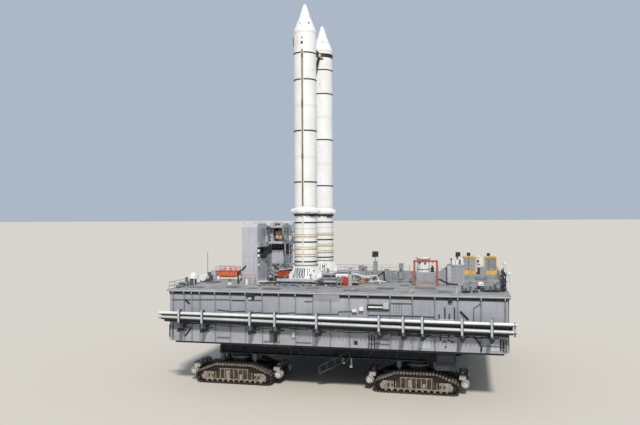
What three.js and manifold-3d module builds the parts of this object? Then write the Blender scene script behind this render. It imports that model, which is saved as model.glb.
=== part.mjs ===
// Twin solid-fuel booster rockets standing on their launch platform, carried by a four-truck crawler.
// It is a 1:2 model. Every size below is the full-size machine's, in metres, and one group scales
// them all. X runs along the platform's long side, Y across it, Z up from the ground.
// "Near" is the -Y side and "far" the +Y side; -X is "left" and +X is "right".
import * as THREE from "three";
import { mergeVertices } from "three/addons/utils/BufferGeometryUtils.js";
import Module from "manifold-3d";

const wasm = await Module();
wasm.setup();

// Driving dimensions
const MODEL_SCALE = 0.5;
const SEAT = 0.0006; // gap between pieces that rest on each other, 0.3 mm in the model
const NEAR = -1;
const FAR = 1;

// Crawler: trucks
const CRAWLER_X = -1.8; // the crawler stands a little left of the platform's middle
const TRUCK_X = 13.72; // half of the 90 ft truck spacing, both ways
const TRUCK_Y = 13.72;
const SHOES = 57;
const BELT_WIDTH = 2.29;
const BELT_THICK = 0.32;
const BELT_OFFSET = 2.5; // belt centre from the truck's centre line
const END_WHEEL = { x: 5.1, z: 1.05, r: 0.73 };
const TOP_WHEEL = { x: 2.75, z: 2.3, r: 0.43 };
const BOSS_TOP = 3.1;

// Crawler: chassis and cabs
const CHASSIS_X = 16.6;
const CHASSIS_Y = 15.4;
const CHASSIS_BOTTOM = 4.3;
const CHASSIS_TOP = 6.5;
const CAB = { x: 17.9, y: CHASSIS_Y + 1.3 + SEAT, bottom: 3.7, top: 6.2, half: 1.3, wall: 0.12 };

// Launch platform
const PLATFORM_X = 24.38;
const PLATFORM_Y = 20.57;
const PLATFORM_BOTTOM = 6.9;
const DECK_TOP = 14.52;
const DECK_THICK = 0.25;
const DECK_LIP = 0.38;
const MAST_X = -15.4; // the two service masts and the engine hole between them
const BOOSTER_X = -6.96;
const BOOSTER_Y = 6.36;
const BOOSTER_HOLE = { x0: -10.8, x1: 2.0, half: 3.05 };
const ENGINE_HOLE = { half_x: 4.0, half_y: 5.2 };

// Boosters
const SKIRT_BASE = DECK_TOP + 0.6;
const CASE_R = 1.855;
const ROUND = 20; // facets of the booster's round pieces

const COLOURS = {
  white: [0xeeede8, 0.45, 0.0],
  platform: [0x9a9aa0, 0.6, 0.0],
  deck: [0x8b8880, 0.8, 0.0],
  crawler: [0x8c8d8c, 0.6, 0.1],
  shoe: [0x6b5a4c, 0.7, 0.4],
  steel: [0x5c5e60, 0.5, 0.6],
  pipe: [0xd8d9d6, 0.35, 0.5],
  orange: [0xc4562e, 0.6, 0.0],
  yellow: [0xe0a83c, 0.6, 0.0],
  tan: [0xb58f66, 0.8, 0.0],
  nozzle: [0x3c3a38, 0.8, 0.0],
};

// Solid-making helpers. A closed mesh becomes a solid whichever way its faces ran.
function solidOf(geometry) {
  const bare = geometry.index ? geometry.toNonIndexed() : geometry.clone();
  bare.deleteAttribute("normal");
  bare.deleteAttribute("uv");
  const merged = mergeVertices(bare, 1e-5);
  const points = merged.attributes.position.array;
  const faces = new Uint32Array(merged.index.array);
  const a = new THREE.Vector3();
  const b = new THREE.Vector3();
  const c = new THREE.Vector3();
  let volume = 0;
  for (let i = 0; i < faces.length; i += 3) {
    a.fromArray(points, 3 * faces[i]);
    b.fromArray(points, 3 * faces[i + 1]);
    c.fromArray(points, 3 * faces[i + 2]);
    volume += a.dot(b.cross(c));
  }
  if (volume < 0) {
    for (let i = 0; i < faces.length; i += 3) {
      [faces[i + 1], faces[i + 2]] = [faces[i + 2], faces[i + 1]];
    }
  }
  return new wasm.Manifold(
    new wasm.Mesh({ numProp: 3, vertProperties: points, triVerts: faces }),
  );
}

const union = (...solids) => solids.flat().reduce((sum, s) => sum.add(s));

// A block given by its lowest and highest corner.
function block(x0, x1, y0, y1, z0, z1) {
  const g = new THREE.BoxGeometry(x1 - x0, y1 - y0, z1 - z0);
  return solidOf(g.translate((x0 + x1) / 2, (y0 + y1) / 2, (z0 + z1) / 2));
}

// A block given by its centre in plan, its half sizes and its two levels.
const post = (x, y, half_x, half_y, z0, z1) =>
  block(x - half_x, x + half_x, y - half_y, y + half_y, z0, z1);

// A solid of revolution about a vertical axis, from [radius, height] pairs.
function turned(profile, x = 0, y = 0, z = 0, facets = ROUND) {
  const points = profile.map(([r, h]) => new THREE.Vector2(r, h));
  const g = new THREE.LatheGeometry(points, facets).rotateX(Math.PI / 2);
  return solidOf(g.translate(x, y, z));
}

// A round bar between two points.
function bar(from, to, radius, facets = 10) {
  const a = new THREE.Vector3(...from);
  const b = new THREE.Vector3(...to);
  const along = b.clone().sub(a);
  const g = new THREE.CylinderGeometry(radius, radius, along.length(), facets);
  const turn = new THREE.Quaternion().setFromUnitVectors(
    new THREE.Vector3(0, 1, 0),
    along.clone().normalize(),
  );
  g.applyQuaternion(turn).translate(...a.add(b).multiplyScalar(0.5).toArray());
  return solidOf(g);
}

// An outline of [x, z] pairs carried along Y from y0 to y1.
function slabAlongY(outline, y0, y1, hole = null) {
  const shape = new THREE.Shape(outline.map(([x, z]) => new THREE.Vector2(x, z)));
  if (hole) {
    shape.holes.push(new THREE.Path(hole.map(([x, z]) => new THREE.Vector2(x, z))));
  }
  const g = new THREE.ExtrudeGeometry(shape, { depth: y1 - y0, bevelEnabled: false });
  return solidOf(g.rotateX(Math.PI / 2).translate(0, y1, 0));
}

// An outline of [y, z] pairs carried along X from x0 to x1.
function slabAlongX(outline, x0, x1) {
  const shape = new THREE.Shape(outline.map(([y, z]) => new THREE.Vector2(y, z)));
  const g = new THREE.ExtrudeGeometry(shape, { depth: x1 - x0, bevelEnabled: false });
  g.rotateX(Math.PI / 2).rotateZ(Math.PI / 2);
  return solidOf(g.translate(x0, 0, 0));
}

const assembly = new THREE.Group();

const crawler = new THREE.Group();
crawler.position.set(CRAWLER_X, 0, 0);
assembly.add(crawler);

function addNode(name, solid, colour, parent = assembly) {
  const mesh = solid.getMesh();
  const g = new THREE.BufferGeometry();
  g.setAttribute("position", new THREE.BufferAttribute(mesh.vertProperties, 3));
  g.setIndex(new THREE.BufferAttribute(mesh.triVerts, 1));
  const [color, roughness, metalness] = COLOURS[colour];
  const material = new THREE.MeshStandardMaterial({ color, roughness, metalness });
  const node = new THREE.Mesh(g, material);
  node.name = name;
  parent.add(node);
  return node;
}

// Crawler belts: a loop of shoes over two end wheels and two top wheels.
// The outline at a given offset outside the wheels, as a path of lines and arcs.
const LOOP_WHEELS = [
  [-END_WHEEL.x, END_WHEEL.z, END_WHEEL.r],
  [END_WHEEL.x, END_WHEEL.z, END_WHEEL.r],
  [TOP_WHEEL.x, TOP_WHEEL.z, TOP_WHEEL.r],
  [-TOP_WHEEL.x, TOP_WHEEL.z, TOP_WHEEL.r],
];

function normalAngle(from, to) {
  const dx = to[0] - from[0];
  const dz = to[1] - from[1];
  return Math.atan2(dz, dx) - Math.acos((from[2] - to[2]) / Math.hypot(dx, dz));
}

function loopPath(offset) {
  const path = new THREE.Path();
  LOOP_WHEELS.forEach((wheel, i) => {
    const before = LOOP_WHEELS[(i + 3) % 4];
    const after = LOOP_WHEELS[(i + 1) % 4];
    const start = normalAngle(before, wheel);
    path.absarc(wheel[0], wheel[1], wheel[2] + offset, start, normalAngle(wheel, after));
  });
  path.closePath();
  return path;
}

// The same loop as [x, z] pairs, with a few points on each wheel.
function loopOutline(offset, arc_points = 4) {
  const outline = [];
  LOOP_WHEELS.forEach((wheel, i) => {
    const start = normalAngle(LOOP_WHEELS[(i + 3) % 4], wheel);
    let end = normalAngle(wheel, LOOP_WHEELS[(i + 1) % 4]);
    while (end < start) end += 2 * Math.PI;
    for (let k = 0; k <= arc_points; k++) {
      const a = start + ((end - start) * k) / arc_points;
      const r = wheel[2] + offset;
      outline.push([wheel[0] + r * Math.cos(a), wheel[1] + r * Math.sin(a)]);
    }
  });
  return outline;
}

// The outer outline has one flat per shoe and a notch between two shoes, left out on the ground run.
function beltOutline() {
  const notch_depth = 0.12;
  const shoe_edge = 0.12; // share of the pitch taken by half a notch
  const path = loopPath(BELT_THICK);
  const outline = [];
  const ground = 0.001;
  for (let k = 0; k < SHOES; k++) {
    const at = [k / SHOES, (k + shoe_edge) / SHOES, (k + 1 - shoe_edge) / SHOES];
    const [joint, first, last] = at.map((u) => path.getPointAt(u));
    if (joint.y > ground) {
      const t = path.getTangentAt(at[0]);
      outline.push([joint.x - t.y * notch_depth, joint.y + t.x * notch_depth]);
    }
    if (first.y > ground) outline.push([first.x, first.y]);
    if (last.y > ground) outline.push([last.x, last.y]);
  }
  // The ground run is one straight line between the two lowest arc ends.
  const arc_ends = [-END_WHEEL.x, END_WHEEL.x].map((x) => [x, 0]);
  const left = outline.findIndex(([x], i) => x < 0 && (outline[i + 1]?.[0] ?? 1) > 0);
  outline.splice(left + 1, 0, ...arc_ends);
  return outline;
}

const belt_outline = beltOutline();
const belt_inside = loopOutline(0);

function beltSolid(y) {
  return slabAlongY(belt_outline, y - BELT_WIDTH / 2, y + BELT_WIDTH / 2, belt_inside);
}

// Truck frame: a centre box with the steering boss on top, a side frame with its wheels inside each
// belt, and a drive housing across each end.
function truckFrame() {
  const frame_gap = 0.14;
  const side_half = 0.95;
  const wheel_half = 0.75;
  const core_half = 1.2;
  const parts = [
    block(-4.9, 4.9, -core_half, core_half, 0.75, 2.7),
    turned([[0, 2.6], [1.3, 2.6], [1.3, BOSS_TOP], [0, BOSS_TOP]], 0, 0, 0, 16),
  ];
  for (const side of [-1, 1]) {
    const y = side * BELT_OFFSET;
    parts.push(slabAlongY(loopOutline(-frame_gap, 3), y - side_half, y + side_half));
    parts.push(post(0, y, END_WHEEL.x, 0.7, BELT_THICK + SEAT, 0.7));
    parts.push(post(0, side * 1.6, 3.6, 0.6, 0.9, 2.2));
    for (const [x, z, r] of LOOP_WHEELS) {
      const wheel_facets = r > 0.6 ? 12 : 8;
      const wheel_r = 0.9 * r;
      const from = [x, y - wheel_half, z];
      parts.push(bar(from, [x, y + wheel_half, z], wheel_r, wheel_facets));
    }
    parts.push(post(side * 5.9, 0, 1.1, 1.0, 0.85, 2.1));
    parts.push(bar([side * 6.78, -2.9, 1.55], [side * 6.78, 2.9, 1.55], 0.5, 8));
  }
  return union(parts);
}

const truck_frame = truckFrame();
const TRUCKS = [
  ["near_left", -1, NEAR],
  ["near_right", 1, NEAR],
  ["far_left", -1, FAR],
  ["far_right", 1, FAR],
];
for (const [name, side_x, side_y] of TRUCKS) {
  const truck = new THREE.Group();
  truck.position.set(side_x * TRUCK_X, side_y * TRUCK_Y, 0);
  crawler.add(truck);
  addNode(`${name}_truck_frame`, truck_frame, "crawler", truck);
  addNode(`${name}_outer_belt`, beltSolid(side_y * BELT_OFFSET), "shoe", truck);
  addNode(`${name}_inner_belt`, beltSolid(-side_y * BELT_OFFSET), "shoe", truck);
}

// Crawler chassis: engine block, girders round the edge, a deck plate, four columns on the trucks
// and four pads under the platform.
function chassis() {
  const girder = 3.2;
  const inner_x = CHASSIS_X - girder - 1.2;
  const inner_y = CHASSIS_Y - girder;
  const girder_top = CHASSIS_TOP - 0.2;
  const parts = [
    block(-10.5, 10.5, -9.5, 9.5, 3.5, girder_top),
    block(-CHASSIS_X, CHASSIS_X, -CHASSIS_Y, CHASSIS_Y, CHASSIS_TOP - 0.3, CHASSIS_TOP),
  ];
  for (const side of [-1, 1]) {
    const [y0, y1] = [side * inner_y, side * CHASSIS_Y].sort((a, b) => a - b);
    const [x0, x1] = [side * inner_x, side * CHASSIS_X].sort((a, b) => a - b);
    parts.push(block(-CHASSIS_X, CHASSIS_X, y0, y1, CHASSIS_BOTTOM, girder_top));
    parts.push(block(x0, x1, -CHASSIS_Y, CHASSIS_Y, CHASSIS_BOTTOM, girder_top));
    // The arm that carries a cab out beyond the corner.
    const arm_x = [side * (CHASSIS_X - 1), side * (CAB.x + 0.6)].sort((a, b) => a - b);
    const arm_y = [-side * (CHASSIS_Y - 2.2), -side * CHASSIS_Y].sort((a, b) => a - b);
    parts.push(block(...arm_x, ...arm_y, 5.0, girder_top));
  }
  for (const [, side_x, side_y] of TRUCKS) {
    const [x, y] = [side_x * TRUCK_X, side_y * TRUCK_Y];
    const column = [[0, BOSS_TOP + SEAT], [1.3, BOSS_TOP + SEAT], [1.3, 4.5], [0, 4.5]];
    parts.push(turned(column, x, y, 0, 16));
    parts.push(post(x, y, 1.3, 1.3, CHASSIS_TOP - 0.1, PLATFORM_BOTTOM - SEAT));
  }
  return union(parts);
}
addNode("crawler_chassis", chassis(), "crawler", crawler);

// Driver's cabs at two opposite corners: hollow, with windows on three sides and a hinged door.
const DOOR_CLEAR = 0.02;
const DOOR_HALF = 0.45;
const doorSpan = (side, clear = 0) => {
  const y = -side * CAB.y;
  const hinge_clear = clear ? SEAT : 0;
  const ends = [y - side * (DOOR_HALF + hinge_clear), y + side * (DOOR_HALF + clear)];
  return ends.sort((a, b) => a - b);
};
const doorLevels = (clear = 0) => [CAB.bottom + 0.2 - clear, CAB.top - 0.25 + clear];

function cabShell(side) {
  const { x: cx, y: cy, bottom, top, half, wall } = CAB;
  const x = side * cx;
  const [y_out, y_in] = [-side * (cy + half), -side * (cy - half)];
  const [y0, y1] = [Math.min(y_out, y_in), Math.max(y_out, y_in)];
  const shell = block(x - half, x + half, y0, y1, bottom, top);
  const room = block(x - half + wall, x + half - wall, y0 + wall, y1 - wall, bottom + wall, top - wall);
  const window_z = [bottom + 1.15, top - 0.35];
  const front = block(x - 1.05, x + 1.05, ...[y_out - 0.3, y_out + 0.3], ...window_z);
  const end = side * (cx + half);
  const end_window = block(end - 0.3, end + 0.3, y0 + 0.35, y1 - 0.35, ...window_z);
  const back = side * (cx - half);
  const doorway = block(back - 0.3, back + 0.3, ...doorSpan(side, DOOR_CLEAR), ...doorLevels(DOOR_CLEAR));
  return shell.subtract(union(room, front, end_window, doorway));
}

function cabDoor(side) {
  const outer = side * (CAB.x - CAB.half);
  const xs = [outer, outer + side * CAB.wall].sort((a, b) => a - b);
  const door = block(...xs, ...doorSpan(side), ...doorLevels());
  const pane = block(outer - 0.3, outer + 0.3, -side * CAB.y - 0.28, -side * CAB.y + 0.28, CAB.bottom + 1.2, CAB.top - 0.5);
  return door.subtract(pane);
}

for (const [name, side] of [["near", 1], ["far", -1]]) {
  addNode(`${name}_cab`, cabShell(side), "crawler", crawler);
  addNode(`${name}_cab_door`, cabDoor(side), "crawler", crawler);
}

// Launch platform: a steel box of rooms, closed outside, with three exhaust holes through it.
function exhaustHoles(z0, z1) {
  const { x0, x1, half } = BOOSTER_HOLE;
  const { half_x, half_y } = ENGINE_HOLE;
  return union(
    post(MAST_X, 0, half_x, half_y, z0, z1),
    [NEAR, FAR].map((side) => {
      const y = side * BOOSTER_Y;
      return block(x0, x1, y - half, y + half, z0, z1);
    }),
  );
}
const holes = exhaustHoles(PLATFORM_BOTTOM - 1, DECK_TOP + 1);
const hull_top = DECK_TOP - DECK_THICK;
const hull = post(0, 0, PLATFORM_X, PLATFORM_Y, PLATFORM_BOTTOM, hull_top);
addNode("platform_hull", hull.subtract(holes), "platform");

const lip_x = PLATFORM_X + DECK_LIP;
const lip_y = PLATFORM_Y + DECK_LIP;
const deck = post(0, 0, lip_x, lip_y, hull_top + SEAT, DECK_TOP);
addNode("main_deck", deck.subtract(holes), "deck");

// Two service pipes on ten wall brackets along the near side. They run out past both ends and fall
// a little to the right, the lower one more.
const PIPE_Y = -22.0;
const PIPE_R = 0.27;
const PIPE_END = 25.4;
const UPPER_PIPE = [11.2, 11.0];
const LOWER_PIPE = [10.6, 10.0];
const BRACKET_X = [-22.07, -18.45, -11.12, -7.42, -1.34, 7.4, 10.69, 13.26, 18.47, 22.29];

function servicePipes() {
  const pipe = ([left, right]) =>
    bar([-PIPE_END, PIPE_Y, left], [PIPE_END, PIPE_Y, right], PIPE_R, 10);
  const wall = -PLATFORM_Y - SEAT;
  const brackets = BRACKET_X.map((x) => {
    const face = PIPE_Y + 0.15;
    const outline = [
      [wall, 8.5],
      [wall, 9.6],
      [face + 0.25, 9.6],
      [face + 0.25, 11.8],
      [face, 11.8],
      [face, 9.3],
    ];
    return slabAlongX(outline, x - 0.18, x + 0.18);
  });
  return union(pipe(UPPER_PIPE), pipe(LOWER_PIPE), brackets);
}
addNode("service_pipes", servicePipes(), "pipe");

// Hold-down frame round each booster hole: four haunches reach over the hole and carry the posts.
const FRAME_RAIL = 0.45;
const POST_X = 1.95;
const POST_Y = 2.1;

function boosterMount(side) {
  const y = side * BOOSTER_Y;
  const { x0, x1, half } = BOOSTER_HOLE;
  const [z0, z1] = [DECK_TOP + SEAT, DECK_TOP + 0.35];
  const outer = block(x0 - FRAME_RAIL, x1 + FRAME_RAIL, y - half - FRAME_RAIL, y + half + FRAME_RAIL, z0, z1);
  const inner = block(x0, x1, y - half, y + half, z0 - 1, z1 + 1);
  const posts = [];
  for (const sx of [-1, 1]) {
    for (const sy of [-1, 1]) {
      const [px, py] = [BOOSTER_X + sx * POST_X, y + sy * POST_Y];
      const ys = [py - sy * 0.35, y + sy * (half + 0.2)].sort((a, b) => a - b);
      posts.push(block(px - 0.5, px + 0.5, ...ys, z0, z1));
      posts.push(post(px, py, 0.35, 0.35, z0, SKIRT_BASE - SEAT));
    }
  }
  return union(outer.subtract(inner), posts);
}

// Service mast: a tower with an upper opening for the umbilical plate and a dark gap below it, both
// facing the engine hole. A bonnet is hinged over the upper opening and stands raised.
const MAST = { half_x: 1.3, inner_y: 5.6, outer_y: 10.2, height: 9.7 };
const BONNET_HINGE = DECK_TOP + 8.85;
const BONNET = { reach: 1.15, thick: 1.05, half_x: 1.3 };

function serviceMast(side) {
  const { half_x, inner_y, outer_y, height } = MAST;
  const base = DECK_TOP + SEAT;
  const top = DECK_TOP + height;
  const at = (y) => side * y;
  const outline = [
    [at(inner_y), base],
    [at(outer_y), base],
    [at(outer_y), top - 0.5],
    [at(outer_y - 0.5), top],
    [at(inner_y), top],
  ];
  const tower = slabAlongX(outline, MAST_X - half_x, MAST_X + half_x);
  const cut = (half, depth, low, high) => {
    const ys = [at(inner_y - 0.5), at(inner_y + depth)].sort((a, b) => a - b);
    return block(MAST_X - half, MAST_X + half, ...ys, DECK_TOP + low, DECK_TOP + high);
  };
  // The gap runs right round the front and both flanks, and leaves a core that carries the top.
  const gap = cut(half_x + 0.1, outer_y - inner_y - 0.15, 4.65, 5.85);
  const core = block(MAST_X - 0.95, MAST_X + 0.95, ...[at(inner_y + 1.3), at(outer_y)].sort((a, b) => a - b),
    DECK_TOP + 4.5, DECK_TOP + 6);
  return tower.subtract(union(cut(0.9, 1.9, 6.35, 8.75), gap.subtract(core)));
}

function umbilicalPlate(side) {
  const back = MAST.inner_y + 1.9 - SEAT;
  const ys = [side * back, side * (back - 1.1)].sort((a, b) => a - b);
  const ram = [side * back, side * (back - 0.6)].sort((a, b) => a - b);
  return union(
    block(MAST_X - 0.6, MAST_X + 0.6, ...ys, DECK_TOP + 6.7, DECK_TOP + 8.2),
    block(MAST_X - 0.3, MAST_X + 0.3, ...ram, DECK_TOP + 6.35 + SEAT, DECK_TOP + 8.5),
  );
}

function mastBonnet(side) {
  const { reach, thick, half_x } = BONNET;
  const y0 = side * (MAST.inner_y - SEAT);
  const y1 = side * (MAST.inner_y - reach);
  const underside = BONNET_HINGE + 0.012;
  const outline = [
    [-half_x, underside],
    [half_x, underside],
    [half_x, BONNET_HINGE + 0.55],
    [half_x - 0.45, BONNET_HINGE + thick],
    [-half_x + 0.45, BONNET_HINGE + thick],
    [-half_x, BONNET_HINGE + 0.55],
  ].map(([x, z]) => [MAST_X + x, z]);
  return slabAlongY(outline, Math.min(y0, y1), Math.max(y0, y1));
}

// Booster rocket: heights are above the skirt's base.
const SEGMENT_JOINTS = [2.25, 12.2, 20.05, 28.5, 37.0];
const SEGMENT_NAMES = ["aft", "aft_centre", "forward_centre", "forward"];
const GIMBAL_H = 1.35;
const GIMBAL_R = 0.85;
const TUNNEL = { half: 0.13, depth: 0.14, bottom: 12.4, top: 37.9 };
const FRUSTUM_H = 40.75;
const STIFFENERS = [3.9, 5.1, 7.1];
const ATTACH_RING = { bottom: 10.4, top: 11.85, r: 2.24 };

function motorSegment(i) {
  const [low, high] = [SEGMENT_JOINTS[i], SEGMENT_JOINTS[i + 1] - SEAT];
  const joint_r = CASE_R + 0.035;
  const profile = i === 0 ? aftProfile(low) : [[0, low], [CASE_R, low]];
  profile.push([CASE_R, high - 0.3], [joint_r, high - 0.3], [joint_r, high], [0, high]);
  return profile;
}

// The aft segment has a closed dome with a socket for the nozzle bearing, three stiffener rings and
// the ring that carries the tank struts.
function aftProfile(low) {
  const dome = GIMBAL_H + GIMBAL_R + SEAT;
  const profile = [[0, dome], [1.1, dome], [1.1, low], [CASE_R, low]];
  for (const h of STIFFENERS) {
    profile.push([CASE_R, h - 0.16], [CASE_R + 0.16, h], [CASE_R, h + 0.16]);
  }
  const { bottom, top, r } = ATTACH_RING;
  profile.push([CASE_R, bottom], [r, bottom + 0.15], [r, top - 0.3], [CASE_R, top]);
  return profile;
}

// The skirt flares out to its base and carries four hold-down shoes.
function aftSkirt() {
  const top = SEGMENT_JOINTS[0] - SEAT;
  const ring = turned([
    [1.7, top], [1.72, 1.7], [2.48, 0.35], [2.48, 0], [2.64, 0], [2.64, 0.35],
    [1.93, 1.7], [1.88, top], [1.7, top],
  ]);
  const shoes = [-1, 1].flatMap((sx) =>
    [-1, 1].map((sy) => {
      return post(sx * POST_X, sy * POST_Y, 0.3, 0.3, 0, 0.85);
    }),
  );
  const inside = turned([[0, -0.1], [2.49, -0.1], [2.49, 0.35], [1.73, 1.7], [0, 1.7]]);
  return union(ring, union(shoes).subtract(inside));
}

function noseCap() {
  const tip = 45.46;
  return [[0, 43.3 + SEAT], [0.92, 43.3 + SEAT], [0.66, 44.15], [0.45, 44.8], [0.31, 45.2], [0.14, tip - 0.04], [0, tip]];
}

// Bearing ball of the nozzle: it turns about X under the motor's dome, and the nozzle turns about Y
// on it.
function gimbalBall() {
  const angles = [-0.75, -0.4, 0, 0.4, 0.8, 1.2];
  const shell = angles.map((a) => [GIMBAL_R * Math.cos(a), GIMBAL_H + GIMBAL_R * Math.sin(a)]);
  return [[0, shell[0][1]], ...shell, [0, GIMBAL_H + GIMBAL_R]];
}

// The bell is open below. Its throat ring clears the ball all round, and two arms on the Y axis
// bear on the ball's sides.
function nozzleBell() {
  const running_gap = 0.012;
  const seat_h = GIMBAL_H - 0.5;
  const seat_r = (Math.sqrt(GIMBAL_R ** 2 - 0.25) + running_gap) / Math.cos(Math.PI / ROUND);
  const bell = turned([
    [seat_r, seat_h], [0.62, seat_h - 0.25], [0.95, seat_h - 0.9], [1.72, -0.9],
    [1.89, -0.9], [1.12, seat_h - 0.8], [0.92, seat_h - 0.25], [0.92, seat_h], [seat_r, seat_h],
  ]);
  const arms = [-1, 1].map((side) => {
    const ys = [side * (GIMBAL_R + SEAT), side * 1.05].sort((a, b) => a - b);
    return block(-0.15, 0.15, ...ys, seat_h - 0.3, GIMBAL_H + 0.2);
  });
  return union(bell, arms);
}

// The turned pieces that every booster has, with their colours.
const TURNED_PIECES = [
  ["nozzle_ball", gimbalBall(), "steel"],
  ["nose_cap", noseCap(), "white"],
  ["frustum", [[0, FRUSTUM_H + SEAT], [1.9, FRUSTUM_H + SEAT], [1.9, FRUSTUM_H + 0.1], [0.92, 43.3], [0, 43.3]], "white"],
  ...SEGMENT_NAMES.map((name, i) => [`${name}_segment`, motorSegment(i), "white"]),
];

// The forward skirt carries the fitting for the propellant tank on its inner side.
function forwardSkirt(side) {
  const [low, high] = [SEGMENT_JOINTS[4], FRUSTUM_H];
  const skirt = turned([[0, low], [CASE_R + 0.035, low], [CASE_R + 0.035, low + 0.25], [CASE_R, low + 0.25], [CASE_R, high], [0, high]]);
  const ys = [-side * (CASE_R - 0.2), -side * (CASE_R + 0.35)].sort((a, b) => a - b);
  const fitting = block(-0.25, 0.25, ...ys, low + 2.2, low + 2.85);
  return union(skirt, fitting);
}

function systemsTunnel(side) {
  const face = CASE_R + 0.035 + SEAT;
  const ys = [side * face, side * (face + TUNNEL.depth)].sort((a, b) => a - b);
  return block(-TUNNEL.half, TUNNEL.half, ...ys, TUNNEL.bottom, TUNNEL.top);
}

for (const [name, side] of [["near", NEAR], ["far", FAR]]) {
  addNode(`${name}_booster_mount`, boosterMount(side), "steel");
  addNode(`${name}_service_mast`, serviceMast(side), "platform");
  addNode(`${name}_umbilical_plate`, umbilicalPlate(side), "tan");
  addNode(`${name}_mast_bonnet`, mastBonnet(side), "platform");

  const booster = new THREE.Group();
  booster.position.set(BOOSTER_X, side * BOOSTER_Y, SKIRT_BASE);
  assembly.add(booster);
  for (const [piece, profile, colour] of TURNED_PIECES) {
    addNode(`${name}_${piece}`, turned(profile), colour, booster);
  }
  addNode(`${name}_nozzle`, nozzleBell(), "nozzle", booster);
  addNode(`${name}_aft_skirt`, aftSkirt(), "white", booster);
  addNode(`${name}_forward_skirt`, forwardSkirt(side), "white", booster);
  addNode(`${name}_systems_tunnel`, systemsTunnel(side), "tan", booster);
}

// Deck equipment: a white tank in an orange gantry, a grey enclosure, two yellow work cages and two
// orange access stands.
const deck_level = DECK_TOP + SEAT;

// The tank stands on the left end of its grey base and has a wider cap plate.
function deckTank(x, y) {
  const base = post(x, y, 1.64, 1.4, deck_level, DECK_TOP + 1.54);
  const tank = [[0, 1.4], [1.08, 1.4], [1.08, 3.6], [1.22, 3.72], [1.22, 3.98], [0, 4.05]];
  return union(base, turned(tank, x - 0.56, y, DECK_TOP, 16));
}
addNode("deck_tank", deckTank(12.39, -0.5), "white");

function tankGantry(x, y) {
  const leg = 0.14;
  const height = 3.9;
  const legs = [-1.75, 1.75].map((dx) => post(x + dx, y, leg, leg, deck_level, DECK_TOP + height));
  const beam = post(x, y, 1.89, leg, DECK_TOP + height - 0.28, DECK_TOP + height);
  const sill = post(x, y, 1.89, leg, deck_level, DECK_TOP + 0.2);
  return union(legs, beam, sill);
}
addNode("tank_gantry", tankGantry(12.68, -7.5), "orange");

function deckEnclosure() {
  const high = DECK_TOP + 3.05;
  const outline = [[14.5, deck_level], [18.5, deck_level], [18.5, high], [16.3, high], [14.5, DECK_TOP + 1.7]];
  return slabAlongY(outline, -5.6, -1.2);
}
addNode("deck_enclosure", deckEnclosure(), "platform");

function workCage(x0, x1) {
  const [y0, y1] = [14.6, 16.4];
  const [z0, z1] = [deck_level, DECK_TOP + 3.3];
  const bar_size = 0.16;
  const cage = block(x0, x1, y0, y1, z0, z1);
  const through = block(x0 + bar_size, x1 - bar_size, y0 - 1, y1 + 1, z0 + 0.7, z1 - bar_size);
  const across = block(x0 - 1, x1 + 1, y0 + bar_size, y1 - bar_size, z0 + 0.7, z1 - bar_size);
  return cage.subtract(union(through, across));
}
addNode("left_work_cage", workCage(17.95, 20.45), "yellow");
addNode("right_work_cage", workCage(21.92, 24.22), "yellow");

function accessStand(x0, x1, y0, y1, height, overhang = 0) {
  const legs = [x0 + overhang + 0.1, x1 - 0.1].flatMap((x) =>
    [y0 + 0.1, y1 - 0.1].map((y) => post(x, y, 0.1, 0.1, deck_level, DECK_TOP + height)),
  );
  const top = block(x0, x1, y0, y1, DECK_TOP + height - 0.25, DECK_TOP + height);
  const chest = block(x0, x1, y0, y1, DECK_TOP + 0.4, DECK_TOP + height - 0.1);
  return union(legs, top, chest);
}
addNode("left_access_stand", accessStand(-24.4, -20.4, -2.8, -0.8, 1.4), "orange");
addNode("middle_access_stand", accessStand(-12.9, -10.0, -2.4, -0.6, 1.5, 1.7), "orange");

// The part's origin is on the ground under the middle of its outline, which the pipes widen on the
// near side.
const part = new THREE.Group();
const outline_centre = new THREE.Box3().setFromObject(assembly).getCenter(new THREE.Vector3());
assembly.position.set(-outline_centre.x, -outline_centre.y, 0);
part.add(assembly);
part.scale.setScalar(1000 * MODEL_SCALE);

export default part;
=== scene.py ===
import math

import bmesh
import bpy
from mathutils import Matrix, Vector


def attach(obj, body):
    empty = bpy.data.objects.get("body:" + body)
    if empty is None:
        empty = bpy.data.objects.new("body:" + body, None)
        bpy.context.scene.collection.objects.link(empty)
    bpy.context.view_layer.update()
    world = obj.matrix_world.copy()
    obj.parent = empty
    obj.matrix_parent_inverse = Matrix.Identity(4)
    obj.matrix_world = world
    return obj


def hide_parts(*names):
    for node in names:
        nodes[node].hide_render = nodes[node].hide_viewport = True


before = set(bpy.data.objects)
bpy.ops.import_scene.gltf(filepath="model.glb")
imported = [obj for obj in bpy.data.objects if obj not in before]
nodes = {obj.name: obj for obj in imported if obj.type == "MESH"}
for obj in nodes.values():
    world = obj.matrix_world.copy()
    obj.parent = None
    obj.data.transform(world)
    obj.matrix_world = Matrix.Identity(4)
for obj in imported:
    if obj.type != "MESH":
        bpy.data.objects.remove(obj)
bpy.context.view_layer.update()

# Camera: the stack is seen from high up on its near side and a little to the right, as in the
# photograph, with the horizon half way up.
MODEL_SCALE = 0.5
MODEL_SHIFT_Y = 0.6539154  # brings the middle of the outline to the origin
TO_MODEL = Matrix.Scale(MODEL_SCALE, 4) @ Matrix.Translation((0, MODEL_SHIFT_Y, 0))

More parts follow.
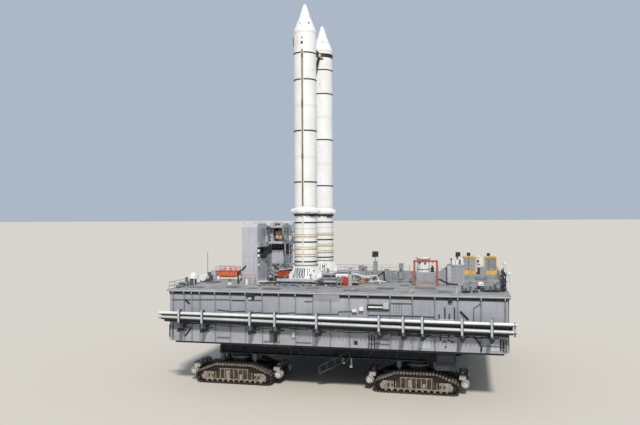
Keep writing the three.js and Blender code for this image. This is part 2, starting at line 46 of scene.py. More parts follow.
bpy.ops.object.select_all(action="DESELECT")
bpy.ops.object.camera_add()
camera = bpy.context.object
camera.name = "view_camera"
camera.data.lens = 36.43
camera.data.clip_end = 8000
camera.matrix_world = (
    Matrix.Translation(TO_MODEL @ Vector((19.80, -110.06, 24.89)))
    @ Matrix.Rotation(math.radians(13.207), 4, "Z")
    @ Matrix.Rotation(math.radians(90.609), 4, "X")
    @ Matrix.Rotation(math.radians(-0.269), 4, "Z")
)
bpy.context.scene.camera = camera
bpy.context.scene.view_settings.view_transform = "Standard"


# Studio: a plain pale floor, a pale even backdrop, and one large soft lamp high on the near side,
# a little to the right, which lights the walls and leaves the space under the platform dark.
def linear(code):
    """An sRGB hex colour as the linear colour that the nodes work in."""
    parts = [int(code[i : i + 2], 16) / 255 for i in (0, 2, 4)]
    curve = [c / 12.92 if c <= 0.04045 else ((c + 0.055) / 1.055) ** 2.4 for c in parts]
    return (*curve, 1.0)


def add_node(tree, kind, inputs=None, stops=None, **settings):
    """Adds one node with its settings. An input is a value, or the socket that it is linked to."""
    node = tree.nodes.new("ShaderNode" + kind)
    for name, value in settings.items():
        setattr(node, name, value)
    for name, value in (inputs or {}).items():
        if isinstance(value, bpy.types.NodeSocket):
            tree.links.new(value, node.inputs[name])
        else:
            node.inputs[name].default_value = value
    if stops:
        ramp = node.color_ramp
        while len(ramp.elements) < len(stops):
            ramp.elements.new(0.5)
        for element, (position, colour) in zip(ramp.elements, stops):
            element.position = position
            element.color = colour
    return node


world = bpy.data.worlds.new("pale_studio")
bpy.context.scene.world = world
world.use_nodes = True
backdrop = world.node_tree.nodes["Background"]
backdrop.inputs["Color"].default_value = linear("b9c6d6")
backdrop.inputs["Strength"].default_value = 0.85

bpy.ops.object.light_add(type="SUN")
lamp = bpy.context.object
lamp.name = "soft_lamp"
lamp.data.energy = 3.2
lamp.data.angle = math.radians(7)
lamp.data.color = (1.0, 0.965, 0.91)
lamp.rotation_euler = Vector((-0.3, 1.0, -1.02)).to_track_quat("-Z", "Y").to_euler()

bpy.ops.object.select_all(action="DESELECT")
bpy.ops.mesh.primitive_plane_add(size=12000, location=(0, 0, -0.002))
floor = bpy.context.object
floor.name = "studio_floor"
floor_paint = bpy.data.materials.new("matt_studio_floor")
floor_paint.use_nodes = True
floor_shader = floor_paint.node_tree.nodes["Principled BSDF"]
floor_shader.inputs["Base Color"].default_value = linear("cdc6ba")
floor_shader.inputs["Roughness"].default_value = 0.9
floor.data.materials.append(floor_paint)


# Platform hull: a welded box of painted steel plates, 49 m by 41 m, with stiffeners down its
# walls. The solid stays; it gets its paint here, with plate seams, dirt runs and faded patches.
def finish(
    name, base, patch, grime, size, roughness, metallic=0.0, runs=0.3, grain=0.3, plates=None, lower_tone=None
):
    """A weathered surface: two tones in patches of a size in metres, grime that runs down, grain,
    the seams of plates of a length and height, and a lower tone that it turns to below a height or on
    its undersides; where that tone is dark it is painted shade.
    Everything reads Object coordinates."""
    material = bpy.data.materials.new(name)
    material.use_nodes = True
    tree = material.node_tree
    tree.nodes.clear()
    place = add_node(tree, "TexCoord").outputs["Object"]
    per_metre = 1 / MODEL_SCALE
    cloud = add_node(
        tree, "TexNoise", {"Vector": place, "Scale": per_metre / size, "Detail": 5.0, "Roughness": 0.62}
    )
    tone = add_node(
        tree, "ValToRGB", {"Fac": cloud.outputs["Fac"]}, [(0.36, linear(base)), (0.66, linear(patch))]
    ).outputs["Color"]
    bump_height = add_node(
        tree, "TexNoise", {"Vector": place, "Scale": per_metre / 0.16, "Detail": 4.0}
    ).outputs["Fac"]
    if plates:
        split = add_node(tree, "SeparateXYZ", {0: place})
        along = add_node(tree, "Math", {0: split.outputs["X"], 1: split.outputs["Y"]}, operation="ADD")
        sheet = add_node(tree, "CombineXYZ", {"X": along.outputs[0], "Y": split.outputs["Z"]})
        seams = add_node(
            tree,
            "TexBrick",
            {
                "Vector": sheet.outputs[0],
                "Color1": (1.0, 1.0, 1.0, 1.0),
                "Color2": (0.93, 0.935, 0.945, 1.0),
                "Mortar": (0.8, 0.79, 0.77, 1.0),
                "Scale": 1.0,
                "Mortar Size": 0.012,
                "Mortar Smooth": 0.5,
                "Brick Width": plates[0] * MODEL_SCALE,
                "Row Height": plates[1] * MODEL_SCALE,
            },
            offset=0.0,
        )
        tone = add_node(
            tree, "Mix", {0: 1.0, 6: tone, 7: seams.outputs["Color"]}, data_type="RGBA", blend_type="MULTIPLY"
        ).outputs[2]
    stretch = add_node(tree, "Mapping", {"Vector": place, "Scale": (1.0, 1.0, 0.09)})
    drip = add_node(
        tree, "TexNoise",
        {"Vector": stretch.outputs[0], "Scale": per_metre / 0.55, "Detail": 5.0, "Roughness": 0.7}
    )
    dirt = add_node(
        tree, "ValToRGB", {"Fac": drip.outputs["Fac"]}, [(0.5, (0, 0, 0, 1)), (0.78, (runs, runs, runs, 1))]
    )
    colour = add_node(
        tree, "Mix", {0: dirt.outputs["Color"], 6: tone, 7: linear(grime)}, data_type="RGBA"
    )
    if lower_tone:
        source, clear, full, lower_colour = lower_tone
        upward = add_node(tree, "SeparateXYZ", {0: add_node(tree, "TexCoord").outputs[source]}).outputs["Z"]
        share = add_node(tree, "MapRange",
                         {"Value": upward, "From Min": clear, "From Max": full, "To Max": 0.85})
        colour = add_node(
            tree, "Mix", {0: share.outputs[0], 6: colour.outputs[2], 7: linear(lower_colour)}, data_type="RGBA"
        )
    gloss = add_node(
        tree,
        "MapRange",
        {"Value": cloud.outputs["Fac"], "To Min": max(roughness - 0.12, 0.05),
         "To Max": min(roughness + 0.14, 1.0)},
    )
    bump = add_node(tree, "Bump", {"Strength": grain, "Distance": 0.012, "Height": bump_height})
    shader = add_node(
        tree,
        "BsdfPrincipled",
        {
            "Base Color": colour.outputs[2],
            "Roughness": gloss.outputs[0],
            "Metallic": metallic,
            "Normal": bump.outputs[0],
        },
    )
    add_node(tree, "OutputMaterial", {"Surface": shader.outputs[0]})
    return material


def paint_nodes(material, *names):
    """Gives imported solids, which keep their shape, a finished material."""
    for name in names:
        nodes[name].material_slots[0].material = material


# Hull paint: alkyd enamel over welded steel plate. It gives the eye a flat blue-grey, faded in
# patches, with plate seams and faint rust runs.
wall_paint = finish(
    "alkyd_painted_plate", "a5a5ab", "96979d", "6d5f52", 5.0, 0.6, runs=0.3, plates=(2.9, 2.45)
)
paint_nodes(wall_paint, "platform_hull")

# The same paint in copies of other tones. The darker copy is painted shade with dust, for parts that
# lie in shade. The rib copy is darker still, painted shade so that the ribs stand out as lines. The
# near black copy is black paint on dark parts, and painted shadow under the lip, beside the pipe
# brackets, in the mast gaps and under the mount manifolds. The paler copy is pale paint, and also the
# lit side of the pipe brackets as painted light.
shaded_paint = finish("dusty_and_shade_painted_steel", "5d5e66", "4b4c52", "3a332d", 1.5, 0.75)
rib_paint = finish("grimy_and_shade_painted_rib_paint", "85868e", "6d6e76", "4b423a", 1.2, 0.7, runs=0.35)
dark_paint = finish("black_paint_and_painted_shadow", "26272a", "1b1c1e", "3a332d", 1.0, 0.8)
light_paint = finish("pale_grey_paint_and_painted_light", "b6b7be", "a5a6ad", "6d5f52", 1.4, 0.55, runs=0.22)


def begin(name):
    """Opens an empty piece in edit mode, with nothing else selected."""
    bpy.ops.object.select_all(action="DESELECT")
    piece = bpy.data.objects.new(name, bpy.data.meshes.new(name))
    bpy.context.collection.objects.link(piece)
    bpy.context.view_layer.objects.active = piece
    piece.select_set(True)
    bpy.ops.object.mode_set(mode="EDIT")
    return piece


def block(x0, x1, y0, y1, z0, z1, edge=0.0):
    """Adds a bar or plate between two opposite corners, with its edges broken."""
    bpy.ops.mesh.primitive_cube_add(
        size=1,
        location=((x0 + x1) / 2, (y0 + y1) / 2, (z0 + z1) / 2),
        scale=(abs(x1 - x0), abs(y1 - y0), z1 - z0),
    )
    if edge:
        bpy.ops.mesh.bevel(offset=edge, segments=1, affect="EDGES")


def rod(start, end, radius, sides=8):
    """Adds a round bar from one point to another."""
    start, end = Vector(start), Vector(end)
    along = end - start
    bpy.ops.mesh.primitive_cylinder_add(
        vertices=sides,
        radius=radius,
        depth=along.length,
        location=(start + end) / 2,
        rotation=along.to_track_quat("Z", "Y").to_euler(),
    )


def pull(offset, low=(-99, -99, -99), high=(99, 99, 99)):
    """Moves the points of the piece that lie in a box, in edit mode."""
    mesh = bmesh.from_edit_mesh(bpy.context.object.data)
    for point in mesh.verts:
        inside = all(a - 1e-4 <= c <= b + 1e-4 for a, c, b in zip(low, point.co, high))
        point.select_set(inside)
    mesh.select_flush(True)
    bpy.ops.transform.translate(value=offset)


def close():
    """Turns the open piece's faces outwards and leaves edit mode."""
    bpy.ops.mesh.select_all(action="SELECT")
    bpy.ops.mesh.normals_make_consistent(inside=False)
    bpy.ops.object.mode_set(mode="OBJECT")
    return bpy.context.object


def copies(unit, places):
    """Copies a modelled unit to each place, given by a matrix, and joins them to one piece."""
    name = unit.name
    made = []
    for place in places:
        copy = unit.copy()
        copy.data = unit.data.copy()
        copy.data.transform(place)
        bpy.context.collection.objects.link(copy)
        made.append(copy)
    bpy.data.objects.remove(unit)
    bpy.ops.object.select_all(action="DESELECT")
    for copy in made:
        copy.select_set(True)
    bpy.context.view_layer.objects.active = made[0]
    bpy.ops.object.join()
    made[0].name = name
    return made[0]


def at(x=0.0, y=0.0, z=0.0, turn=0.0):
    """A place: a turn about the upright axis in degrees, then a move."""
    return Matrix.Translation((x, y, z)) @ Matrix.Rotation(math.radians(turn), 4, "Z")


def settle(piece, material, body="launch_stack", smooth=0):
    """Brings a finished piece to the model's scale and place, paints it and lets it ride."""
    if piece.mode == "EDIT":
        close()
    piece.data.transform(TO_MODEL)
    piece.data.materials.clear()
    piece.data.materials.append(material)
    if smooth:
        bpy.ops.object.select_all(action="DESELECT")
        piece.select_set(True)
        bpy.context.view_layer.objects.active = piece
        bpy.ops.object.shade_smooth_by_angle(angle=math.radians(smooth))
    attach(piece, body)
    return piece


def done(material, body="launch_stack", smooth=0):
    """Closes the open piece and settles it."""
    return settle(close(), material, body, smooth)


# Wall stiffeners: flat bars of painted steel, welded on edge down all four walls. They stand closer
# together at the near left.
WALL_Y = 20.57
WALL_X = 24.38
HULL_LOW = 6.9
RIB_LOW = HULL_LOW + 0.05
RIB_TOP = 13.84
LIP_UNDERSIDE = 14.262
NEAR_RIBS = [-23.81, -22.01, -20.79, -19.51, -17.1, -14.73, -12.38, -9.79, -7.3, -4.85, -2.31]
NEAR_RIBS += [0.25, 2.97, 5.65, 8.72, 11.77, 14.8, 17.85, 20.92, 24.01]
FAR_RIBS = [-23.6 + 2.95 * i for i in range(17)]
SIDE_RIBS = [-19.9 + 2.84 * i for i in range(15)]

# The ribs are in a darker copy of the hull's paint: painted shade, so that they read as lines.
begin("near_wall_ribs")
for x in NEAR_RIBS:
    block(x - 0.03, x + 0.03, -WALL_Y - 0.13, -WALL_Y + 0.02, RIB_LOW, RIB_TOP)
    block(x - 0.06, x + 0.06, -WALL_Y - 0.16, -WALL_Y - 0.12, RIB_LOW, RIB_TOP)
done(rib_paint)

begin("other_wall_ribs")
for x in FAR_RIBS:
    block(x - 0.05, x + 0.05, WALL_Y - 0.02, WALL_Y + 0.13, RIB_LOW, RIB_TOP)
    block(x - 0.11, x + 0.11, WALL_Y + 0.12, WALL_Y + 0.16, RIB_LOW, RIB_TOP)
for y in SIDE_RIBS:
    for side in (-1, 1):
        block(side * (WALL_X - 0.02), side * (WALL_X + 0.13), y - 0.05, y + 0.05, RIB_LOW, RIB_TOP)
        block(side * (WALL_X + 0.12), side * (WALL_X + 0.16), y - 0.11, y + 0.11, RIB_LOW, RIB_TOP)
done(rib_paint)

# Painted shadow under the deck's lip: a black strip along every wall that stands for the lip's
# shadow, but for a stretch in the middle of the near wall, where a sloped cover plate comes out flush
# with the lip.
begin("lip_painted_shadow")
for x0, x1, y in [(-24.3, -2.2, -WALL_Y), (1.58, 24.3, -WALL_Y), (-24.3, 24.3, WALL_Y)]:
    block(x0, x1, y * 0.999, y + math.copysign(0.12, y), 13.86, LIP_UNDERSIDE, 0.02)
for x in (-WALL_X, WALL_X):
    block(x * 0.999, x + math.copysign(0.12, x), -20.5, 20.5, 13.86, LIP_UNDERSIDE, 0.02)
done(dark_paint)

begin("lip_cover_plate")
block(-2.18, 1.56, -WALL_Y - 0.34, -WALL_Y + 0.01, 13.3, LIP_UNDERSIDE)
pull((0, 0.32, 0), high=(99, -WALL_Y - 0.3, 13.4))
done(wall_paint)

# Brackets that hold up the lip: painted steel plate, a web with a sloped foot at each rib, welded to
# the wall and the lip.
begin("lip_brackets")
block(-0.04, 0.04, -0.36, 0.01, 13.74, 14.26)
pull((0, 0.26, 0), low=(-9, -9, 13.7), high=(9, -0.3, 13.75))
block(-0.07, 0.07, -0.365, -0.33, 14, 14.26)
bracket = close()
places = [at(x, -WALL_Y) for x in NEAR_RIBS if not -2.4 < x < 1.6]
places += [at(x, WALL_Y, turn=180) for x in FAR_RIBS]
places += [at(-WALL_X, y, turn=-90) for y in SIDE_RIBS] + [at(WALL_X, y, turn=90) for y in SIDE_RIBS]
settle(copies(bracket, places), wall_paint)

# Wall fittings, near side: pipework, struts and cables in galvanised or enamelled steel and black
# rubber, clipped or bolted to the wall.
dull_steel = finish("dull_galvanised_steel", "7d7f82", "696b6f", "4a4038", 0.8, 0.5, metallic=0.5)
pale_steel = finish("bright_galvanised_steel", "b3b6b8", "9ea1a4", "6a6058", 0.8, 0.42, metallic=0.55)
white_box_paint = finish("white_gloss_enamel", "e3e3df", "d2d2cd", "8a7f70", 0.6, 0.4, runs=0.25)


def strands(name, runs, radius, rounds=1, curved=False):
    """A piece of round lines along runs of points: curves with a bevel, made a mesh."""
    curve = bpy.data.curves.new(name, "CURVE")
    curve.dimensions = "3D"
    curve.bevel_depth = radius
    curve.bevel_resolution = rounds
    curve.use_fill_caps = True
    curve.resolution_u = 4
    for run in runs:
        line = curve.splines.new("NURBS" if curved else "POLY")
        line.points.add(len(run) - 1)
        for point, place in zip(line.points, run):
            point.co = (*place, 1)
        if curved:
            line.order_u = 3
            line.use_endpoint_u = True
    piece = bpy.data.objects.new(name, curve)
    bpy.context.collection.objects.link(piece)
    bpy.ops.object.select_all(action="DESELECT")
    piece.select_set(True)
    bpy.context.view_layer.objects.active = piece
    bpy.ops.object.convert(target="MESH")
    piece = bpy.context.object
    bpy.ops.object.mode_set(mode="EDIT")
    bpy.ops.mesh.select_all(action="SELECT")
    bpy.ops.mesh.remove_doubles(threshold=radius / 20)
    return close()


OUT = -WALL_Y - 0.1
CONDUITS = [
    [(-24.1, 13), (-17.1, 13.17)],
    [(-17, 13.2), (-14.8, 13.2)],
    [(-11.9, 13.2), (-9.9, 13.24)],
    [(-16.8, 11.72), (-14.6, 11.5), (-12.4, 11.6)],
    [(-11.4, 11.4), (-9.9, 11.55), (-9.9, 11.42), (-7.2, 11.5), (-7.2, 11.3)],
    [(-7.2, 11.4), (-4.9, 11.62), (-4.9, 11.44), (-2.4, 11.5)],
    [(-3.5, 13.2), (-2.3, 13.25), (-2.25, 13.8)],
    [(-1.9, 11.5), (1.4, 11.55), (1.4, 11.9), (3.4, 12)],
    [(-16.84, 7.64), (-14.75, 7.64)],
    [(-9.61, 7.3), (-7.39, 7.3)],
    [(-4.75, 7.35), (-2.53, 7.35)],
    [(8.7, 13.28), (11.68, 13.28)],
    [(5.75, 11.55), (11.6, 11.6), (14.7, 11.55)],
    [(5.8, 8.2), (8.6, 8.2)],
    [(8.8, 8.85), (14.6, 8.75)],
    [(5.8, 7.6), (8.6, 7.58)],
    [(19.93, 11), (19.93, 12.85), (20.87, 13.51)],
    [(20.95, 7.9), (24.2, 7.8)],
    [(24.05, 13.8), (24.05, 11.4)],
]
conduits = [[(x, OUT, z) for x, z in run] for run in CONDUITS]
settle(strands("wall_conduits", conduits, 0.055), shaded_paint, smooth=40)

drains = [[(x, OUT, z0), (x, OUT, z1)] for x, z0, z1 in
          [(15.37, 10.97, 11.95), (16.14, 10.97, 12.88), (16.71, 10.97, 12.05), (17.41, 10.97, 12.91),
           (5.72, 6.95, 8.7), (6.1, 6.95, 8.9), (6.48, 6.95, 8.7), (15.5, 8.7, 9.3), (16.6, 8.75, 9.3)]]
drains += [[(23.4 + 0.34 * i, OUT, 8.9 - 0.1 * i), (23.4 + 0.34 * i, OUT, 7.3 - 0.1 * i)] for i in range(3)]
drains += [[(-24.35 + 0.5 * i, OUT - 0.05, 9.3),
            (-24.35 + 0.5 * i, OUT - 0.05, 7.4 - 0.1 * i)] for i in range(2)]
settle(strands("wall_drain_pipes", drains, 0.075), dark_paint, smooth=40)

struts = [[(x, OUT, z) for x, z in run] for run in [
    [(-21.86, 13.06), (-21.15, 12.48)],
    [(-21.88, 7.68), (-20.87, 8.91)],
    [(18.17, 12.41), (19.23, 11.35)],
    [(19.9, 9.13), (20.89, 7.89), (20.88, 7.12)],
]]
settle(strands("wall_struts", struts, 0.12, rounds=2), dark_paint, smooth=40)

# Boxes and doors on the near wall: pressed steel cabinets on studs, two white ones, the white
# sill of an air duct, and flat access plates low down.
def wall_box(x0, x1, z0, z1, depth, edge=0):
    """A block of a depth on the near wall."""
    block(x0, x1, -WALL_Y - depth, -WALL_Y + 0.01, z0, z1, edge)


begin("white_wall_boxes")
for x0, x1, z0, z1, depth in [
    (3.4, 4.07, 11.92, 12.33, 0.45),
    (4.44, 5.04, 12.13, 12.65, 0.5),
    (5.62, 7.7, 12.56, 12.8, 0.3),
]:
    wall_box(x0, x1, z0, z1, depth, 0.03)
done(white_box_paint)

begin("grey_wall_boxes")
for x0, x1, z0, z1, depth in [
    (7.76, 8.54, 12.46, 13.4, 0.5),
    (-11.95, -11.4, 13.3, 13.75, 0.3),
    (-5.4, -4.9, 8, 8.9, 0.25),
    (12.4, 14.2, 7.2, 9, 0.05),
    (-1.6, 1.2, 9.55, 9.85, 0.3),
    (22, 23.3, 7.2, 9.3, 0.06),
    (15.3, 17.4, 11, 11.3, 0.2),
]:
    wall_box(x0, x1, z0, z1, depth, 0.03)
done(light_paint)

# Dark wall fittings: the frame of an air duct, a hatch, a lip box, and a louvre of pressed slats, in
# folded sheet steel that is bolted to the near wall.
begin("dark_wall_fittings")
for x0, x1, z0, z1, depth in [
    (5.53, 8.6, 12.9, 13.04, 0.3),
    (5.53, 8.6, 12.29, 12.46, 0.3),
    (5.53, 5.68, 12.29, 13.04, 0.3),
    (3.62, 4.1, 7.36, 7.88, 0.08),
    (16.59, 17.1, 13.5, 14.26, 0.3),
    (-12.2, -11, 13.62, 14.26, 0.3),
    (-11.4, -11.1, 13.25, 13.7, 0.25),
    (-14.58, -12.44, 13.06, 13.18, 0.12),
    (15.45, 15.6, 8.35, 8.75, 0.15),
    (15.9, 16.2, 8.16, 8.34, 0.15),
    (16.5, 16.75, 8.36, 8.52, 0.15),
    (16.85, 17.35, 8.16, 8.32, 0.15),
    (16.12, 16.3, 7.42, 7.64, 0.12),
    (-8.78, -7.6, 8.8, 8.86, 0.1),
    (-8.78, -7.6, 7.24, 7.3, 0.1),
]:
    wall_box(x0, x1, z0, z1, depth, 0.015)
for i in range(6):
    x = -8.68 + 0.2 * i
    wall_box(x - 0.05, x + 0.05, 7.3, 8.8, 0.1)
for i in range(4):
    for j in range(5):
        x, z = 9.15 + 0.36 * i, 11.55 + 0.36 * j
        wall_box(x, x + 0.11, z, z + 0.11, 0.05)
done(dark_paint)

# Doors, louvres and ladders on the other three walls: folded steel leaves, pressed slats and welded
# rungs, bolted on where the rooms inside need them.
begin("other_wall_doors")
block(-0.5, 0.5, -0.08, 0.01, 0, 2.1, 0.03)
block(-0.62, 0.62, -0.05, 0.01, -0.08, 2.22, 0.02)
block(-0.7, 0.7, -0.5, 0.01, 2.3, 2.36)
block(-0.36, -0.28, -0.14, -0.05, 0.9, 1.1)
door = close()
places = [at(x, WALL_Y, z, 180) for x, z in [(-16.5, 7.3), (-4.5, 7.3), (7.2, 7.3), (18.9, 7.3), (1.3, 10.9)]]
places += [at(-WALL_X, y, 7.3, -90) for y in (-12.9, 4.4)] + [at(WALL_X, y, 7.3, 90) for y in (-7.3, 10)]
settle(copies(door, places), light_paint)

begin("other_wall_louvres")
block(-0.8, 0.8, -0.06, 0.01, -0.06, 0)
block(-0.8, 0.8, -0.06, 0.01, 1.2, 1.26)
for i in range(7):
    block(-0.76, 0.76, -0.09, 0.01, 0.05 + 0.17 * i, 0.13 + 0.17 * i)
louvre = close()
places = [at(x, WALL_Y, 11.2, 180) for x in (-19.4, -10.6, 10.1, 21.9)]
places += [at(-WALL_X, y, 11, -90) for y in (-15.7, 10.2)]
places += [at(WALL_X, y, 11, 90) for y in (-12.9, 1.3, 15.5)]
settle(copies(louvre, places), shaded_paint)

begin("wall_ladders")
for x in (-0.24, 0.24):
    block(x - 0.03, x + 0.03, -0.26, -0.2, 0, 7.1)
for i in range(17):
    block(-0.24, 0.24, -0.25, -0.21, 0.2 + 0.4 * i, 0.24 + 0.4 * i)
for z in (0.5, 3.5, 6.5):
    for x in (-0.24, 0.24):
        block(x - 0.02, x + 0.02, -0.22, 0.01, z, z + 0.05)
ladder = close()
places = [at(12.4, WALL_Y, 7.1, 180), at(-WALL_X, -1.4, 7.1, -90), at(WALL_X, 5.8, 7.1, 90)]
settle(copies(ladder, places), pale_steel)

# Belly girders: rolled steel I-beams that cross under the hull outside the crawler and stiffen its
# floor, welded on by their top flange.
GIRDER_LOW = 6.5
begin("belly_girders")
for half, low, high in [(0.18, GIRDER_LOW, GIRDER_LOW + 0.06), (0.04, GIRDER_LOW + 0.06, HULL_LOW)]:
    for y in (-19.6, -16.9, 16.9, 19.6):
        block(-23.9, 23.9, y - half, y + half, low, high)
    for x in (-23.3, -20.6, 17.4, 20.3, 23.3):
        block(x - half, x + half, -16.7, 16.7, low, high)
done(shaded_paint)

# Service pipes: two long lines lagged in white sheet, on ten brackets that stand off the near wall.
# The lagging is rolled in lengths, banded where two meet, and each line ends in a blind flange.
PIPE_Y = -22
PIPE_R = 0.27
PIPE_END = 25.4
BRACKET_X = [-22.07, -18.45, -11.12, -7.42, -1.34, 7.4, 10.69, 13.26, 18.47, 22.29]
UPPER_PIPE = (11.2, 11)
LOWER_PIPE = (10.6, 10)
# Both sheets turn dark grey on their undersides, which is painted shade.
lagging = finish("rolled_white_lagging", "e4e5e3", "cfd1d0", "8e8880", 1.6, 0.34, metallic=0.15, runs=0.18,
                 lower_tone=("Normal", -0.1, -0.5, "3a3939"))
# The lower line lies in the upper one's shade, and its sheet is painted greyer for it: painted shade.
shaded_lagging = finish("shade_painted_white_lagging", "c6c7c8", "b2b4b6", "7c766e", 1.6, 0.4, metallic=0.15,
                       runs=0.22,
                       lower_tone=("Normal", -0.05, -0.45, "343333"))


def turn(profile, x=0, y=0, z=0, sides=64, hollow=False):
    """Turns (radius, height) pairs about an upright axis: a circle that is drawn up ring by ring."""
    radius, height = profile[0]
    bpy.ops.mesh.primitive_circle_add(
        vertices=sides,
        radius=radius,
        location=(x, y, z + height),
        fill_type="NOTHING" if hollow else "NGON",
    )
    for next_radius, next_height in profile[1:] + ([profile[0]] if hollow else []):
        bpy.ops.mesh.extrude_region_move(
            TRANSFORM_OT_translate={"value": (0, 0, next_height - height)}
        )
        grow = next_radius / radius
        bpy.ops.transform.resize(value=(grow, grow, 1), center_override=(x, y, z + next_height))
        radius, height = next_radius, next_height
    if hollow:
        bpy.ops.mesh.select_all(action="SELECT")
        bpy.ops.mesh.remove_doubles(threshold=1e-4)


def lagged_pipe(name, z_left, z_right, sheet):
    """A line along the near wall between its end heights, with a band at each joint of its lagging."""
    begin(name)
    length = 2 * PIPE_END
    profile = [(0.12, 0), (0.2, 0), (0.2, 0.12), (PIPE_R * 0.97, 0.13)]
    joint = 2.42
    for i in range(1, int(length / joint)):
        h = joint * i
        profile += [(PIPE_R * 0.97, h - 0.09), (PIPE_R, h - 0.085), (PIPE_R, h + 0.085),
                    (PIPE_R * 0.97, h + 0.09)]
    profile += [(PIPE_R * 0.97, length - 0.13), (0.2, length - 0.12), (0.2, length), (0.12, length)]
    turn(profile, sides=20)
    piece = close()
    fall = math.atan2(z_left - z_right, length)
    piece.data.transform(
        Matrix.Translation((-PIPE_END, PIPE_Y, z_left)) @ Matrix.Rotation(math.pi / 2 + fall, 4, "Y")
    )
    return settle(piece, sheet, smooth=35)


upper_pipe = lagged_pipe("upper_service_pipe", *UPPER_PIPE, lagging)
lagged_pipe("lower_service_pipe", *LOWER_PIPE, shaded_lagging)
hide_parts("service_pipes")


def pipe_level(x, left, right):
    """The height at x of a line with these end heights."""
    return left + (right - left) * (x + PIPE_END) / (2 * PIPE_END)


# Pipe brackets: painted steel, with a welded arm from the wall, an upright with a U-bolt round each
# pipe, and a foot brace. The uprights are in the darker copy of the paint, painted shade, with a pale
# front flange that is painted light; a black column left of each, down to the foot, is painted shadow.
begin("pipe_brackets")
for x in BRACKET_X:
    for half, *corners in [
        (0.16, -21.68, -21.6, 9.1, 11.75),
        (0.16, -22.4, -22.32, 9.1, 11.75),
        (0.16, -22.4, -21.6, 11.6, 11.7),
        (0.16, -22.4, -21.6, 10.72, 10.8),
        (0.2, -22.42, -21.5, 9.1, 9.3, 0.02),
        (0.2, -21.9, -20.56, 8.9, 9.14, 0.02),
        (0.3, -20.72, -20.56, 8.4, 9.7, 0.02),
    ]:
        block(x - half, x + half, *corners)
done(shaded_paint)
begin("pipe_bracket_flanges")
for x in BRACKET_X:
    block(x - 0.2, x + 0.06, -22.46, -22.3, pipe_level(x, *LOWER_PIPE) - 0.62, 11.75)
done(light_paint)
begin("pipe_bracket_feet_and_shadows")
for x in BRACKET_X:
    block(x - 0.32, x - 0.02, -22.2, -21.7, 8.75, pipe_level(x, *LOWER_PIPE) - 0.2)
    block(x - 0.34, x + 0.14, -22.3, -21.3, 8.5, 8.95, 0.03)
done(dark_paint)

braces = []
for x in BRACKET_X:
    braces += [[(x, -20.7, 8.5), (x, -21.8, 9.4)],
               [(x - 0.9, -20.62, 9), (x, -21.7, 9), (x + 0.9, -20.62, 9)]]
    braces += [[(x + 0.12, -21.4, 9.35), (x + 0.75, -20.7, 9.5)]]
settle(strands("bracket_braces", braces, 0.08), dark_paint, smooth=40)

clamps = []
for x in BRACKET_X:
    for left, right in (UPPER_PIPE, LOWER_PIPE):
        z = pipe_level(x, left, right)
        for dx in (-0.12, 0.12):
            ring = [(x + dx, PIPE_Y + 0.31 * math.cos(a), z + 0.31 * math.sin(a))
                    for a in [math.radians(20 + 20 * k) for k in range(17)]]
            clamps.append([(x + dx, PIPE_Y + 0.42, z + 0.11), *ring, (x + dx, PIPE_Y + 0.42, z - 0.11)])
settle(strands("pipe_clamps", clamps, 0.04, rounds=0), dull_steel)

rubber = finish("black_cable_rubber", "1d1d1f", "2a2a2c", "4d4640", 0.5, 0.65, runs=0.2)
# Black hoses strapped round the underside of both pipes, tied every half metre at the right. They
# also stand as painted shadow: under each pipe, in a band below the lower pipe and in the gap behind
# the pipes.
bundle = []
for left, right in (UPPER_PIPE, LOWER_PIPE):
    for k in range(7):
        a = math.radians(-40 - 17 * k)
        dy, dz = -0.315 * math.cos(a), 0.315 * math.sin(a)
        bundle.append([(x, PIPE_Y + dy, pipe_level(x, left, right) + dz) for x in (-24.9, 24.9)])
for k in range(4):
    bundle.append([(x, PIPE_Y + 0.12, pipe_level(x, *LOWER_PIPE) - 0.34 - 0.09 * k) for x in (-24.6, 24.4)])
for k in range(7):
    t = 0.16 + 0.115 * k
    between = [low * (1 - t) + high * t for low, high in zip(LOWER_PIPE, UPPER_PIPE)]
    bundle.append([(x, PIPE_Y + 0.34, pipe_level(x, *between)) for x in (-24.6, 24.9)])
settle(strands("pipe_hoses_and_painted_shadow", bundle, 0.06), rubber, smooth=60)
begin("pipe_hose_ties")
for left, right, drop in ((*UPPER_PIPE, 0.08), (*LOWER_PIPE, 0.32)):
    for k in range(56):
        x = -5 + 0.53 * k
        z = pipe_level(x, left, right) - PIPE_R - drop
        block(x - 0.06, x + 0.06, PIPE_Y - 0.2, PIPE_Y + 0.2, z - 0.1 - 0.06 * (k % 3), z + 0.02)
done(rubber)

# Drain valves and clamp rings: dull galvanised steel, bolted on at the right ends of both pipes, a
# ring round each and a valve below it.
begin("pipe_end_valves")
for left, right in (UPPER_PIPE, LOWER_PIPE):
    x, z = 25.15, pipe_level(25.15, left, right)
    rod((x - 0.07, PIPE_Y, z), (x + 0.07, PIPE_Y, z), PIPE_R + 0.06, 20)
    rod((x, PIPE_Y, z - 0.25), (x, PIPE_Y, z - 0.55), 0.08, 10)
    block(x - 0.14, x + 0.14, PIPE_Y - 0.14, PIPE_Y + 0.14, z - 0.55, z - 0.4, 0.03)
done(dull_steel, smooth=40)
# Thin lines behind and under the pipes: steel tubes in the brackets, and black cables that sag
# between them.
tubes = []
for rise, y in [(-0.42, -21.5), (-0.55, -21.35), (0.36, -21.5)]:
    tubes.append([(x, y, pipe_level(x, *LOWER_PIPE) + rise) for x in (-24.2, 24.2)])
tubes.append([(-24, -21.5, 11), (24, -21.5, 10.7)])
settle(strands("service_tubes", tubes, 0.08), dull_steel, smooth=40)

